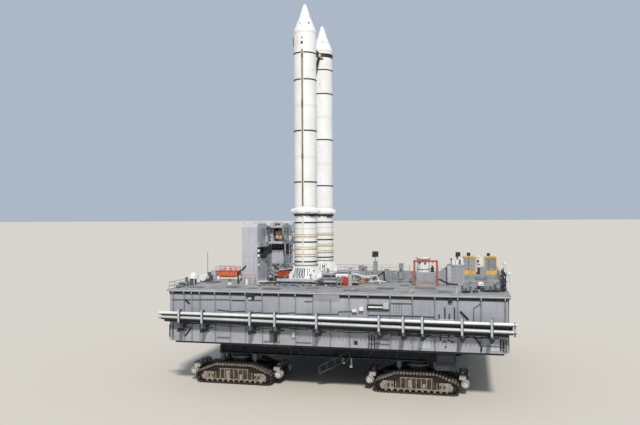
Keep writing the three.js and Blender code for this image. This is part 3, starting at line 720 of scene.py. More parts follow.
cables = []
for i, (x0, x1) in enumerate(zip(BRACKET_X[:-1], BRACKET_X[1:])):
    z0, z1 = pipe_level(x0, 10, 9.3), pipe_level(x1, 10, 9.3)
    for k, drop in enumerate((0.35, 0.16)):
        y = -21.3 + 0.12 * k
        sag = drop + 0.05 * ((i * 7 + k * 3) % 5)
        cables.append([(x0, y, z0), (x0 * 0.8 + x1 * 0.2, y, z0 - sag * 0.7),
                       ((x0 + x1) / 2, y, (z0 + z1) / 2 - sag),
                       (x0 * 0.2 + x1 * 0.8, y, z1 - sag * 0.7), (x1, y, z1)])
settle(strands("hanging_cables", cables, 0.055, curved=True), rubber, smooth=60)

# Deck: bare non-slip steel plate, welded edge to edge and mottled by weather and repairs, with a lip
# that the walls carry.
deck_steel = finish(
    "weathered_deck_plate", "9c9b99", "81807e", "5c5047", 2.2, 0.8, runs=0.5, grain=0.45, plates=(3.1, 2.4)
)
paint_nodes(deck_steel, "main_deck")

# Deck plate work: bolted hatch covers, doubler plates and drain strips laid on the plating, and
# raised coamings round the three exhaust holes.
DECK = 14.52


def deck_block(x0, x1, y0, y1, low, high, edge=0):
    """A block with its heights above the deck."""
    block(x0, x1, y0, y1, DECK + low, DECK + high, edge)


def crate(x, y, low, wide, deep, tall, edge=0):
    """A block on or above the deck, round a middle, with a size."""
    deck_block(x - wide / 2, x + wide / 2, y - deep / 2, y + deep / 2, low, low + tall, edge)


begin("deck_hatch_covers")
for i, (x, y, w, d) in enumerate([
    (-21.5, -17.4, 2.2, 1.5), (-16.2, -16.1, 1.6, 1.6), (-9.3, -17.8, 2.6, 1.4), (-3.6, -15.2, 1.8, 2.2),
    (2.7, -17.6, 2, 1.6), (7.2, -14.1, 2.4, 1.8), (16, -16.8, 1.8, 1.5), (21.9, -9.4, 1.6, 2.6),
    (-22, -9.5, 1.8, 2.4), (-21.4, 6.3, 2.2, 1.6), (-19.8, 15.4, 2.4, 1.8), (-8.2, 15.9, 2.8, 1.8),
    (4.9, 5.8, 2, 2.6), (8.8, 12.9, 2.4, 1.6), (16.3, 8.3, 2.2, 2.2), (21.2, 3.6, 2, 2.8),
    (12.9, -12.3, 3, 1.3), (5, -0.4, 2.2, 1.6), (-12.6, -17, 1.2, 1.2), (9.5, -9, 1.4, 1.4),
]):
    thick = 0.05 + 0.04 * (i % 3)
    crate(x, y, -0.01, w, d, thick + 0.01, 0.015)
    for end in (-1, 1):
        crate(x + end * (w / 2 - 0.225), y, thick, 0.15, 0.3, 0.05)
done(dull_steel)

begin("deck_doubler_strips")
for x0, x1, y in [
    (-24.2, -3, -19.7), (-1, 24.2, -19.9), (-23, -18, -14.1), (3.6, 10.4, -11.2), (14.8, 23.8, -13.3),
    (-24, 24, 19.6), (-7, 6, 11.6), (12, 23.8, 12.4),
]:
    deck_block(x0, x1, y - 0.12, y + 0.12, -0.01, 0.04)
for x, y0, y1 in [
    (-19.9, -19, -12), (2.4, -19, -12.2), (11.2, -19, -13.2), (17.6, -19, -10), (-18.6, 8, 19),
    (2.8, 10.6, 19),
    (14.4, 4.2, 19),
]:
    deck_block(x - 0.12, x + 0.12, y0, y1, -0.01, 0.04)
done(light_paint)

# Edge bar: flat steel, welded along the lip on all four sides, in a paler grey than the deck.
begin("deck_edge_bar")
for side in (-1, 1):
    ys = (side * (WALL_Y + 0.37), side * (WALL_Y + 0.42))
    xs = (side * (WALL_X + 0.37), side * (WALL_X + 0.42))
    block(-WALL_X - 0.4, WALL_X + 0.4, *ys, 14.36, 14.5, 0.015)
    block(*xs, -WALL_Y - 0.38, WALL_Y + 0.38, 14.36, 14.5, 0.015)
done(light_paint)

# Exhaust hole linings: heavy steel plate, welded round each hole and scorched dark brown by launches.
# They reach from the deck down into the hull.
scorched = finish("scorched_steel_plate", "4a4743", "2f2c2a", "7b4f33", 1.2, 0.85, runs=0.4)
begin("exhaust_hole_linings")
for x0, x1, y0, y1 in [(-10.8, 2, 3.31, 9.41), (-10.8, 2, -9.41, -3.31), (-19.4, -11.4, -5.2, 5.2)]:
    for a, b in [(x0, x0 + 0.06), (x1 - 0.06, x1)]:
        block(a, b, y0, y1, 8, DECK + 0.005)
    for a, b in [(y0, y0 + 0.06), (y1 - 0.06, y1)]:
        block(x0, x1, a, b, 8, DECK + 0.005)
done(scorched)

# Hand rails: galvanised steel tube, 1.07 m high, with posts, a knee rail and a top rail welded
# together. They follow the deck's edge and guard the exhaust holes.
def hand_rail(name, runs, base=DECK, height=1.07, spacing=1.9):
    """A rail of posts, a knee rail and a top rail along runs between two ends."""
    lines = []
    for start, end in runs:
        (x0, y0, *rise0), (x1, y1, *rise1) = start, end
        z0, z1 = base + (rise0[0] if rise0 else 0), base + (rise1[0] if rise1 else 0)
        count = max(1, round(math.hypot(x1 - x0, y1 - y0) / spacing))
        for k in range(count + 1):
            t = k / count
            foot = (x0 + (x1 - x0) * t, y0 + (y1 - y0) * t, z0 + (z1 - z0) * t)
            lines.append([foot, (foot[0], foot[1], foot[2] + height)])
        for level in (height * 0.52, height):
            lines.append([(x0, y0, z0 + level), (x1, y1, z1 + level)])
    return strands(name, lines, 0.04, rounds=0)


rails = [((-24.5, -20.6), (-24.5, -13.1)), ((-24.5, -9), (-24.5, -3.2)), ((-24.5, -0.3), (-24.5, 20.6)),
         ((-24.5, 20.6), (24.5, 20.6)), ((24.5, -13), (24.5, 20.6)), ((-24.5, -20.6), (-21.6, -20.6)),
         ((21, -15.1), (23.6, -14.9)), ((-11.1, -3.1), (2.3, -3.1)), ((2.5, -3), (2.5, 3)),
         ((-11.1, 3.1), (2.3, 3.1)), ((19, -11.5), (20.6, -11.5))]
settle(hand_rail("deck_hand_rails", rails), pale_steel)

# Booster mounts: the welded frames stay, in dull grey. Each gets cross stiffeners, blast hoses and
# the forged shoes under the skirt's feet.
mount_steel = finish("heat_stained_mount_paint", "9c9ca2", "7e7d7e", "4d3b2c", 1.1, 0.7, runs=0.5)
paint_nodes(mount_steel, "near_booster_mount", "far_booster_mount")
BOOSTER_X = -6.96
BOOSTER_Y = 6.36
SKIRT_BASE = DECK + 0.6
SIDES = {"near": -1, "far": 1}
FOOT_X, FOOT_Y = 1.95, 2.1

begin("mount_stiffeners")
for y in (-BOOSTER_Y, BOOSTER_Y):
    for x in [-10.9 + 1.2 * i for i in range(12)]:
        for edge in (-3.28, 3.28):
            deck_block(x - 0.03, x + 0.03, y + edge - 0.2, y + edge + 0.2, 0.34, 0.5)
    for post_x in (BOOSTER_X - FOOT_X, BOOSTER_X + FOOT_X):
        for post_y in (y - FOOT_Y, y + FOOT_Y):
            crate(post_x, post_y, 0.34, 0.92, 0.16, 0.16)
            crate(post_x, post_y, 0.34, 0.16, 0.92, 0.16)
done(mount_steel)

# Water manifold: a painted steel trunk along the near edge of each mount, on brackets, with the
# shadow gap under it and dull galvanised pipes round the mount.
begin("mount_manifolds")
for y in (-BOOSTER_Y, BOOSTER_Y):
    deck_block(-11, -4.6, y - 3.56, y - 3.3, 0.38, 0.86, 0.06)
    deck_block(-3.2, 2.3, y - 3.56, y - 3.3, 0.38, 0.6, 0.05)
done(light_paint)
# Black strips along the mounts' near faces, under the manifolds: painted shadow.
begin("mount_shadow_gap")
for y in (-BOOSTER_Y, BOOSTER_Y):
    deck_block(-11.24, 2.44, y - 3.54, y - 3.51, 0.02, 0.33)
    for k in range(8):
        deck_block(-10.9 + 1.8 * k, -10.6 + 1.8 * k, y - 3.53, y - 3.4, 0.3, 0.42)
done(dark_paint)

mount_pipes = []
for y in (-BOOSTER_Y, BOOSTER_Y):
    mount_pipes += [
        [(-11, y - 3.3, DECK + 0.62), (2.2, y - 3.3, DECK + 0.62)],
        [(2.05, y - 3.2, DECK + 0.7), (2.05, y + 3.2, DECK + 0.7)],
        [(-11.05, y - 3.2, DECK + 0.55), (-11.05, y + 3.2, DECK + 0.55)],
    ]
    mount_pipes += [
        [(-4.9, y - 3.4, DECK + 0.3), (-5.4, y - 3.3, DECK + 1.25), (-5.6, y - 1.9, DECK + 1.5)],
        [(-9.6, y - 3.4, DECK), (-9.7, y - 3, DECK + 1.3), (-9.6, y - 2, DECK + 1.5)],
        [(-3.5, y - 3.4, DECK), (-3.5, y - 3.3, DECK + 1.2)],
        [(-3, y - 3.4, DECK), (-3, y - 3.3, DECK + 0.9), (-1, y - 3.3, DECK + 0.9)],
    ]
settle(strands("mount_water_pipes", mount_pipes, 0.08), dull_steel, smooth=40)

# Boosters: rolled steel cases joined end to end, painted white with a satin topcoat. Rings of black
# sealant cover the joints, and tan cork covers the stiffeners low down.
booster_paint = finish(
    "satin_white_topcoat", "ececec", "e2e1de", "9c9282", 3.2, 0.38, runs=0.2, grain=0.06
)
cork = finish("sprayed_cork_coating", "ebe2c8", "d8c69c", "8a7048", 0.9, 0.85, grain=0.5)
cork_edge = finish("burnt_cork_edge", "8f7a56", "6e5a3c", "4a3d2c", 0.7, 0.85, grain=0.5)
slot_grey = finish("grey_exhaust_cover", "7d827d", "6a6f6b", "4a423a", 0.4, 0.7)
sealant = finish("black_joint_sealant", "19191b", "232222", "4a423a", 0.7, 0.6, runs=0.15)
faint_seam = finish("primed_joint_strip", "cfccc4", "bfbbb2", "8d8476", 0.7, 0.55)
CASE_R = 1.855


def booster_piece(name, side, rings, replaced=(), hollow=False, sides=72):
    """A turned piece on one booster's axis, its heights above the skirt's base."""
    begin(name)
    turn(rings, BOOSTER_X, side * BOOSTER_Y, SKIRT_BASE, sides=sides, hollow=hollow)
    piece = close()
    if replaced:
        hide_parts(*replaced)
    return piece


def hoop(profile, side, sides=72):
    """Adds a hollow ring on a booster's axis."""
    turn(profile, BOOSTER_X, side * BOOSTER_Y, SKIRT_BASE, sides=sides, hollow=True)


def pad(side, turned, reach, height, size, edge=0, segments=1, lean=0):
    """Adds a block that faces out from a booster's axis, at an angle in degrees."""
    facing = math.radians(turned)
    bpy.ops.mesh.primitive_cube_add(
        size=1,
        location=(
            BOOSTER_X + reach * math.cos(facing),
            side * BOOSTER_Y + reach * math.sin(facing),
            SKIRT_BASE + height,
        ),
        rotation=(0, lean, facing),
        scale=size,
    )
    if edge:
        bpy.ops.mesh.bevel(offset=edge, segments=segments, affect="EDGES")


def bands(name, side, levels, width, proud, material):
    """Narrow rings round the case, each closed on itself under the paint."""
    begin(name)
    low, high = CASE_R - 0.03, CASE_R + proud
    half, edge = width / 2, min(0.03, width / 4)
    for h in levels:
        hoop([(low, h - half), (high, h - half + edge), (high, h + half - edge), (low, h + half)], side)
    return done(material, smooth=35)


for name, side in SIDES.items():
    case = [(1.1, 2.21), (CASE_R, 2.25)]
    for h in (12.2, 20.05, 28.5):
        case += [(CASE_R, h - 0.3), (CASE_R + 0.025, h - 0.29), (CASE_R + 0.025, h), (CASE_R, h + 0.01)]
    case += [(CASE_R, 37), (1.1, 37.01)]
    segments = [f"{name}_{part}_segment" for part in ("aft", "aft_centre", "forward_centre", "forward")]
    settle(booster_piece(f"{name}_motor_case", side, case, segments), booster_paint, smooth=30)

    skirt = [(CASE_R, 37), (CASE_R + 0.035, 37.02), (CASE_R + 0.035, 37.25), (CASE_R, 37.27),
             (CASE_R, 40.45), (1.9, 40.5), (1.9, 40.75), (1.1, 40.75)]
    cone = [(1.1, 40.76), (1.9, 40.76), (1.9, 40.87), (0.92, 43.31), (0.6, 43.32)]
    cap = [(0.6, 43.31), (0.92, 43.33), (0.79, 43.75), (0.66, 44.15), (0.55, 44.5), (0.46, 44.78),
           (0.38, 45.02),
           (0.3, 45.2), (0.21, 45.33), (0.13, 45.41), (0.06, 45.45), (0.01, 45.46)]
    for part, rings, node, angle in [
        ("forward_skirt", skirt, "forward_skirt", 30),
        ("frustum", cone, "frustum", 20),
        ("nose", cap, "nose_cap", 30),
    ]:
        shell = booster_piece(f"{name}_{part}_shell", side, rings, [f"{name}_{node}"])
        settle(shell, booster_paint, smooth=angle)

    bands(f"{name}_black_bands", side, [2.9, 6.1, 9.27, 15.9, 24.3, 32.7, 37.08], 0.23, 0.06, sealant)
    bands(f"{name}_thin_black_bands", side, [2.3], 0.16, 0.07, sealant)
    bands(f"{name}_cork_edges", side, [4.07, 5.27, 7.27], 0.12, 0.09, cork_edge)
    bands(f"{name}_faint_bands", side, [8.3, 12.1, 20.05, 28.5], 0.1, 0.035, faint_seam)
    # Stiffener rings: T-shaped hoops under sprayed cork, which has weathered to straw and brown.
    begin(f"{name}_stiffener_rings")
    for h in (3.9, 5.1, 7.1):
        outline = [(-0.03, -0.26), (0.03, -0.24), (0.13, -0.09), (0.13, 0.03), (0.03, 0.2), (-0.03, 0.22)]
        hoop([(CASE_R + out, h + rise) for out, rise in outline], side)
    done(cork, smooth=30)

# Attach ring: a deep hoop that carries the struts of the propellant tank, under white foam covers
# that bulge over the strut ends, with a ragged dark gap beneath.
for name, side in SIDES.items():
    begin(f"{name}_attach_ring")
    hoop([(1.83, 10.68), (2.1, 10.71), (2.22, 10.84), (2.26, 11.05), (2.25, 11.3), (2.15, 11.5), (2, 11.64),
          (1.83, 11.7)], side, sides=64)
    done(booster_paint, smooth=50)
    begin(f"{name}_attach_covers")
    for turned, out, low, high, half in [
        (0, 2.46, 10.78, 11.5, 0.55), (24, 2.4, 10.88, 11.5, 0.3), (-22, 2.42, 10.8, 11.45, 0.28),
        (70, 2.36, 10.86, 11.56, 0.35), (112, 2.38, 10.9, 11.5, 0.4), (180, 2.4, 10.8, 11.5, 0.45),
        (-70, 2.36, 10.8, 11.3, 0.3), (-120, 2.36, 10.9, 11.5, 0.36), (150, 2.36, 10.8, 11.2, 0.26),
    ]:
        turned += 180 if side < 0 else 0
        pad(side, turned, (out + 2) / 2, (low + high) / 2, (out - 2, half * 2, high - low), 0.12, 3)
    done(booster_paint, smooth=50)
    begin(f"{name}_attach_gap")
    hoop([(1.83, 10.36), (1.93, 10.38), (1.98, 10.5), (1.95, 10.66), (1.83, 10.7)], side, sides=48)
    for k, turned in enumerate((222, 240, 262, 291, 309, 322, 333)):
        tall = 0.3 if k > 3 and side > 0 else 0.12
        pad(side, turned, 1.96, 10.42 - (0.09 if k > 3 else 0), (0.22, 0.34 + 0.12 * (k % 3), tall))
    done(sealant, smooth=30)

# Systems tunnel: a shallow channel with cables in it, up the outboard side of the case. Its lid is
# olive primer between white edge strips; below the attach ring it is painted cream.
olive = finish("olive_primed_lid", "6f6852", "5d5745", "3f3a30", 0.8, 0.7)
cream = finish("cream_sealed_lid", "e2dccb", "d3ccb8", "8d8476", 0.8, 0.6)


LIDS = [(12 + 2.08 * i, 12 + 2.08 * i + 2.06) for i in range(12)] + [(36.98, 37.55)]
for name, side in SIDES.items():
    for part, levels, half, depth, paint, slot in [
        ("tunnel_lid", LIDS, 0.1, 0.17, olive, "cork_tan"),
        ("tunnel_edges", [(12, 37.6)], 0.21, 0.1, cream, "white_paint"),
        ("lower_tunnel", [(2.35, 3.7), (4.1, 4.9), (5.3, 6.9), (7.3, 10.4)], 0.13, 0.12, cream,
         "white_paint"),
        ("tunnel_joint_covers", [(28, 29.3), (19.7, 20.5), (36.2, 36.9)], 0.15, 0.2, olive, "cork_tan"),
    ]:
        skin = BOOSTER_Y + CASE_R
        begin(f"{name}_{part}")
        for low, high in levels:
            block(BOOSTER_X - half, BOOSTER_X + half, side * (skin - 0.05), side * (skin + depth),
                  SKIRT_BASE + low, SKIRT_BASE + high, 0.02)
        channel = done(paint)
        if part == "tunnel_lid":
            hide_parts(f"{name}_systems_tunnel")

# Forward skirt and frustum fittings: dark covers over vents and separation motors, and a dark box
# on the near booster's left.
begin("booster_vent_covers")
for side, turned, height, radius, size in [
    (-1, 269, 39.45, 1.86, 0.2), (-1, 268, 38.65, 1.86, 0.34), (-1, 251, 41.95, 1.46, 0.18),
    (-1, 310, 41.95, 1.46, 0.26), (1, 288, 42.2, 1.36, 0.2), (-1, 329, 34.3, 1.86, 0.1),
    (-1, 302, 21.5, 1.86, 0.06), (1, 268, 34.4, 1.86, 0.1), (1, 267, 23, 1.86, 0.09),
    (1, 268, 17.1, 1.86, 0.1),
    (-1, 312, 23.6, 1.86, 0.06), (-1, 195, 38.8, 1.93, 0.55), (-1, 195, 39.5, 1.93, 0.55),
    (-1, 90, 38.6, 1.86, 0.25), (1, 30, 39, 1.86, 0.2), (1, 120, 38.5, 1.86, 0.2), (-1, 30, 41.7, 1.47, 0.18),
    (1, 210, 41.7, 1.47, 0.14), (1, 100, 41.7, 1.47, 0.18),
]:
    pad(side, turned, radius, height, (0.1, size, size * 1.3), 0.02)
done(sealant)

# Tan sheet over the near booster's left side, and the small primed fitting that held the tank, on
# the inner side of both. Black strands run in threes down the far one, with black pads across them
# and a black ring near the top of its forward skirt.
yellow_primer = finish("zinc_chromate_primer", "ddd09a", "c8b87e", "6c6040", 0.6, 0.6)
begin("near_tan_sheet")
for k, turned in enumerate((212, 221, 230, 239, 248)):
    pad(-1, turned, 1.85, 39 + 0.08 * k, (0.06, 0.31, 2.4 - 0.36 * k))
done(finish("sun_faded_tan_sheet", "f1e7da", "e6d7c3", "8a7048", 0.5, 0.75))
for name, side in SIDES.items():
    inner = side * (BOOSTER_Y - CASE_R)
    begin(f"{name}_tank_fitting")
    for half, root, tip, low, high, edge in [(0.2, 0.22, 0.36, 39.25, 39.8, 0.05),
                                             (0.12, 0, 0.4, 39.35, 39.7, 0.04)]:
        block(BOOSTER_X - half, BOOSTER_X + half, inner + side * root, inner - side * tip,
              SKIRT_BASE + low, SKIRT_BASE + high, edge)
    done(yellow_primer)
dark_strands = []
for lean, path in (
    (13, [(200, 41.8), (214, 41.35), (226, 41), (238, 40.65), (248, 40.3), (258, 39.95), (266, 39.65)]),
    (-14, [(268, 39.5), (263, 38.95), (258, 38.25), (253, 37.5), (248, 36.8), (242, 36.1), (230, 35.2),
           (206, 34.4)]),
):
    for rise in (-0.19, 0, 0.19):
        angles = [math.radians(turned + lean * rise) for turned, _ in path]
        dark_strands.append([
            (BOOSTER_X + 1.99 * math.cos(a), BOOSTER_Y + 1.99 * math.sin(a), SKIRT_BASE + height + rise)
            for a, (_, height) in zip(angles, path)
        ])
settle(strands("far_dark_strands", dark_strands, 0.13, curved=True), sealant, smooth=60)
begin("far_dark_pads")
for turned, h, wide in [(268, 39.05, 0.5), (281, 39, 0.5), (258, 39.55, 0.8)]:
    pad(1, turned, 1.92, h, (0.24, wide, 0.2), 0.04, 2)
done(sealant)
begin("far_dark_ring")
hoop([(1.83, 39.35), (1.93, 39.37), (1.93, 40.02), (1.83, 40.04)], 1)
done(sealant, smooth=30)

# Aft skirt: a flared casting and plate cone, white inside and out, with ribs, four feet, the tubes
# of the separation motors and the boxes of the nozzle's hydraulic units.
for name, side in SIDES.items():
    skirt = [(1.72, 2.24), (1.72, 1.7), (2.48, 0.35), (2.48, 0), (2.64, 0), (2.64, 0.3), (2.5, 0.42),
             (2.2, 1.05), (1.98, 1.55), (1.9, 1.8), (1.885, 2.1), (1.93, 2.12), (1.93, 2.24)]
    shell = booster_piece(f"{name}_aft_skirt_shell", side, skirt, [f"{name}_aft_skirt"], hollow=True)
    settle(shell, booster_paint, smooth=35)

    begin(f"{name}_skirt_ribs")
    block(1.86, 1.98, -0.03, 0.03, 0.4, 2.1)
    pull((0.62, 0, 0), low=(1.8, -1, 0.3), high=(2.1, 1, 0.5))
    rib = close()
    centre = Matrix.Translation((BOOSTER_X, side * BOOSTER_Y, SKIRT_BASE))
    ribs = copies(rib, [centre @ at(turn=7.5 + 15 * k) for k in range(24)])
    settle(ribs, booster_paint)

    begin(f"{name}_skirt_feet")
    block(-0.42, 0.42, -0.36, 0.36, 0, 0.16, 0.03)
    block(-0.3, 0.3, -0.3, 0.3, 0.14, 0.95, 0.04)
    rod((0, 0, 0.9), (0, 0, 1.15), 0.14, 12)
    rod((0, 0, 1.1), (0, 0, 1.3), 0.2, 6)
    foot = close()
    feet = copies(foot, [centre @ at(sx * FOOT_X, sy * FOOT_Y) for sx in (-1, 1) for sy in (-1, 1)])
    settle(feet, booster_paint, smooth=30)

    # Separation motors: four steel tubes side by side, stood against the skirt, capped at the foot.
    begin(f"{name}_separation_motors")
    for turned in (237, 251, 263, 274):
        facing = centre @ at(turn=turned)
        rod(facing @ Vector((2.5, 0, 0.5)), facing @ Vector((2.02, 0, 1.85)), 0.17, 14)
        rod(facing @ Vector((2.53, 0, 0.36)), facing @ Vector((2.5, 0, 0.52)), 0.2, 14)
    done(pale_steel if side < 0 else booster_paint, smooth=40)
    begin(f"{name}_motor_slots")
    for turned in (229, 245, 257, 269, 280, 290, 299):
        pad(side, turned, 2.19, 1.2, (0.12, 0.13, 1.3), 0.02, lean=-0.36)
    done(slot_grey)
    begin(f"{name}_skirt_boxes")
    for turned, height, size in [
        (300, 1, 0.5), (318, 0.7, 0.4), (205, 1, 0.45), (90, 0.9, 0.6), (60, 0.8, 0.4), (130, 1.1, 0.4),
    ]:
        pad(side, turned, 2.62 - 0.42 * height, height, (0.3, size, size * 0.9), 0.04, 2)
    done(booster_paint)

red_paint = finish("red_safety_enamel", "b4382f", "9c2f29", "4d2a20", 0.5, 0.5)
cover_cloth = finish("faded_red_cover_cloth", "b3877d", "956d64", "5a4038", 0.3, 0.85, grain=0.6)
begin("skirt_red_covers")
for side, turned, height in [
    (1, 284, 1.25), (1, 279, 0.2), (1, 288, 0.55), (1, 296, 0.15), (1, 304, 0.5), (1, 312, 0.1),
    (-1, 322, 1.3),
]:
    pad(side, turned, 2.68 - 0.42 * height, height, (0.14, 0.36, 0.55), 0.03)
done(cover_cloth)

# Nozzles: a carbon-lined bell on a flexible bearing under each motor. The bell is charcoal outside
# with bands where the lining is wound, and the bearing's boot is grey rubber.
liner = finish("charred_carbon_liner", "3a3837", "2c2a29", "5c5248", 0.4, 0.85, grain=0.5)
BALL_R, BALL_HEIGHT = 0.85, 1.35
boot_rubber = finish("silicone_bearing_boot", "6a6b6c", "58595a", "3a3632", 0.4, 0.7)
for name, side in SIDES.items():
    bell = [
        (0.73, 0.85), (0.62, 0.6), (0.78, 0.28), (0.96, -0.05), (1.32, -0.45), (1.72, -0.9), (1.89, -0.9),
        (1.87, -0.82), (1.5, -0.42), (1.42, -0.36), (1.42, -0.28), (1.12, 0.05), (1, 0.35), (0.92, 0.6),
        (0.92, 0.85),
    ]
    booster_piece(f"{name}_nozzle_bell", side, bell, [f"{name}_nozzle"], hollow=True, sides=64)
    bpy.ops.object.mode_set(mode="EDIT")
    for sy in (-1, 1):
        ys = (side * BOOSTER_Y + sy * 0.853, side * BOOSTER_Y + sy * 1.05)
        block(BOOSTER_X - 0.15, BOOSTER_X + 0.15, *ys, SKIRT_BASE + 0.56, SKIRT_BASE + 1.55, 0.03)
    done(liner, f"{name}_nozzle", smooth=30)
    arcs = [-0.73 + 0.14 * k for k in range(15)]
    ball = [(0.6, 0.77), (0.63, 0.77)]
    ball += [(BALL_R * math.cos(a), BALL_HEIGHT + BALL_R * math.sin(a)) for a in arcs]
    piece = booster_piece(f"{name}_bearing_boot", side, ball, [f"{name}_nozzle_ball"], sides=48)
    settle(piece, boot_rubber, f"{name}_nozzle_ball", smooth=40)

# Service masts: bolted steel towers that stood at the tail of the vehicle. The solids stay; panels,
# corner angles, hoses, pipes and black blocks of painted shade in the gap are added round them.
cabinet_paint = finish("grey_cabinet_enamel", "989a9c", "84878a", "574c42", 0.8, 0.5, runs=0.35)
mast_paint = finish("chalky_grey_mast_paint", "b9b9be", "abacb1", "6d5f52", 1.8, 0.65, runs=0.3,
                    plates=(2.6, 3.3))
paint_nodes(mast_paint, "near_service_mast", "far_service_mast", "near_mast_bonnet", "far_mast_bonnet")
# Both tans are paler than the blankets are, as painted light: the bonnet's shade falls over them.
quilt_tan = finish("painted_light_tan_quilt", "ffe2c2", "f2c8a0", "7a5738", 0.4, 0.85, runs=0.2, grain=0.6)
umbilical_tan = finish("tan_insulating_blanket", "f4d2ae", "dfb287", "5b4029", 0.4, 0.85, grain=0.6)
paint_nodes(umbilical_tan, "near_umbilical_plate", "far_umbilical_plate")
MAST_X = -15.4


def mast_block(side, x0, x1, y0, y1, low, high, edge=0):
    """A block from a mast's middle line, mirrored for the far mast."""
    deck_block(MAST_X + x0, MAST_X + x1, side * y0, side * y1, low, high, edge)


for name, side in SIDES.items():
    begin(f"{name}_mast_panels")
    for x0, x1 in [(-1.26, -0.005), (0.015, 1.27)]:
        for z0, z1 in [(0.1, 3.2), (3.22, 9.2)]:
            mast_block(side, x0, x1, 10.19, 10.25, z0, z1, 0.01)
    for k in range(9):
        x, z = MAST_X - 0.9 + 0.63 * (k % 3), DECK + 6.6 + 0.9 * (k // 3)
        rod((x, side * 10.24, z), (x, side * 10.29, z), 0.06, 8)
    for x_side in (-1, 1):
        for low, high in [(0.1, 2.3), (2.34, 4.62), (5.9, 6.7), (6.74, 7.9), (7.94, 9.16)]:
            for y0, y1 in [(7.95, 10.15), (5.65, 7.9)]:
                mast_block(side, x_side * 1.29, x_side * 1.34, y0, y1, low, high, 0.02)
    done(mast_paint)

    # The gap between the upper housing and the tower, where the hoses bend: open, with black blocks in
    # it that are painted shade.
    begin(f"{name}_mast_gap_painted_shade")
    cheek, arm = (2.9, 4.6) if side < 0 else (4.6, 5.6)
    for x_side in (-1, 1):
        mast_block(side, x_side * 0.955, x_side * 1.05, 6.9, 10.04, 4.66, 5.84)
        for y0, y1, low, high in [
            (cheek, 5.58, 4.52, 5.88), (arm, 9, 4.3, 4.66), (5.7, 8.3, 3.95, 4.3), (9.2, 9.8, 3.9, 4.66),
        ]:
            mast_block(side, x_side * 1.29, x_side * 1.46, y0, y1, low, high)
        mast_block(side, x_side * 1.2, x_side * 1.28, 5.62, 7, 4.66, 5.84)
    mast_block(side, -1.19, 1.19, 6.7, 6.895, 4.66, 5.84)
    mast_block(side, -0.89, 0.89, 7.44, 7.495, 6.4, 8.7)
    done(dark_paint)

    # Housing round the upper opening: cheek plates that shield it at both sides, a flared ledge
    # under it, and boxes of valves bolted to the cheeks.
    begin(f"{name}_mast_housing")
    mast_block(side, 1.36, 1.44, 3.5, 6.2, 5.9, 9.3, 0.02)
    edge = side * 3.5
    pull((0, side * 0.9, 0), low=(-99, edge - 0.05, DECK + 5.8), high=(99, edge + 0.05, DECK + 6))
    mast_block(side, 1.36, 1.44, 2.7 if side < 0 else 5, 6, 0.3, 4.5, 0.02)
    for corners in [
        (1.3, 1.62, 5, 5.9, 6.6, 7.7, 0.04),
        (1.29, 1.5, 5.65, 10.24, 5.88, 6.66, 0.04),
        (-1.44, -1.36, 5.2, 6.2, 5.9, 9.3, 0.02),
        (-1.42, -1, 5.3, 5.59, 6.1, 7.56, 0.03),
        (0.95, 1.42, 5.3, 5.59, 6.1, 7.56, 0.03),
        (-1.42, 1.4, 4.95, 5.58, 5.88, 6.12, 0.03),
        (-1.35, 1.2, 5.3, 5.58, 2.3, 4.6, 0.04),
        (0.98, 1.06, 5.22, 5.32, 2.4, 4.5, 0.02),
        (-1.3, -1.22, 5.22, 5.32, 2.4, 4.5, 0.02),
    ]:
        mast_block(side, *corners)
    if side > 0:
        mast_block(side, 1.3, 1.62, 5, 5.3, 2.6, 5.9, 0.04)
    done(light_paint)

    begin(f"{name}_mast_dark_gear")
    dark_gear = [
        (1.5, 4.4, 8.6, 0.3, 0.4, 0.5), (1.5, 3.8, 7.2, 0.28, 0.4, 0.35), (-1.5, 6, 3.6, 0.3, 0.6, 0.6),
        (1.52, 6.1, 3.3, 0.3, 0.3, 0.3), (1.52, 5.7, 8.7, 0.3, 0.35, 0.5), (1.52, 4.9, 9, 0.3, 0.3, 0.3),
        (1.52, 5.3, 8.1, 0.3, 0.5, 0.22), (1.52, 4.6, 7.7, 0.3, 0.3, 0.3), (1.66, 5.5, 7.3, 0.3, 0.4, 0.26),
        (1.52, 4.3, 6.7, 0.3, 0.5, 0.25), (1.52, 3.9, 8.1, 0.3, 0.3, 0.4), (1.54, 8.6, 6.1, 0.2, 0.2, 0.5),
    ]
    if side > 0:
        dark_gear = [
            (1.5, 3.9, 7, 0.2, 0.3, 0.3), (1.5, 4.6, 6.5, 0.2, 0.3, 0.3), (1.5, 5.6, 6.6, 0.2, 0.3, 0.3),
            (-1.5, 6, 3.6, 0.3, 0.6, 0.6),
        ]
    for x, y, z, w, d, h in dark_gear:
        crate(MAST_X + x, side * y, z, w, d, h, 0.04)
    done(shaded_paint)

    # Struts across the cheek, from the ledge up to the bonnet's hinge.
    struts = [
        [(MAST_X + 1.5, side * y0, DECK + z0), (MAST_X + 1.5, side * y1, DECK + z1)]
        for y0, z0, y1, z1 in [(4, 6.6, 5, 9), (5.8, 6.7, 4.7, 7.7), (5.9, 7.8, 5.1, 8.9)]
    ]
    settle(strands(f"{name}_mast_struts", struts, 0.06), shaded_paint, smooth=40)

    # White valve bodies among the dark ones, and a bunch at the tower's outer corner below the gap.
    begin(f"{name}_mast_valves")
    for x, y, z, w, d, h in [
        (1.54, 5.1, 8.4, 0.2, 0.2, 0.15), (1.54, 4.5, 7.2, 0.2, 0.25, 0.15),
        (1.5, 10.05, 5.1, 0.3, 0.35, 0.45),
        (1.52, 10.1, 4.3, 0.32, 0.4, 0.45), (1.5, 9.8, 3.9, 0.25, 0.25, 0.25),
        (1.52, 10.15, 2.9, 0.25, 0.25, 0.3),
    ]:
        crate(MAST_X + x, side * y, z, w, d, h, 0.05)
    done(white_box_paint, smooth=40)

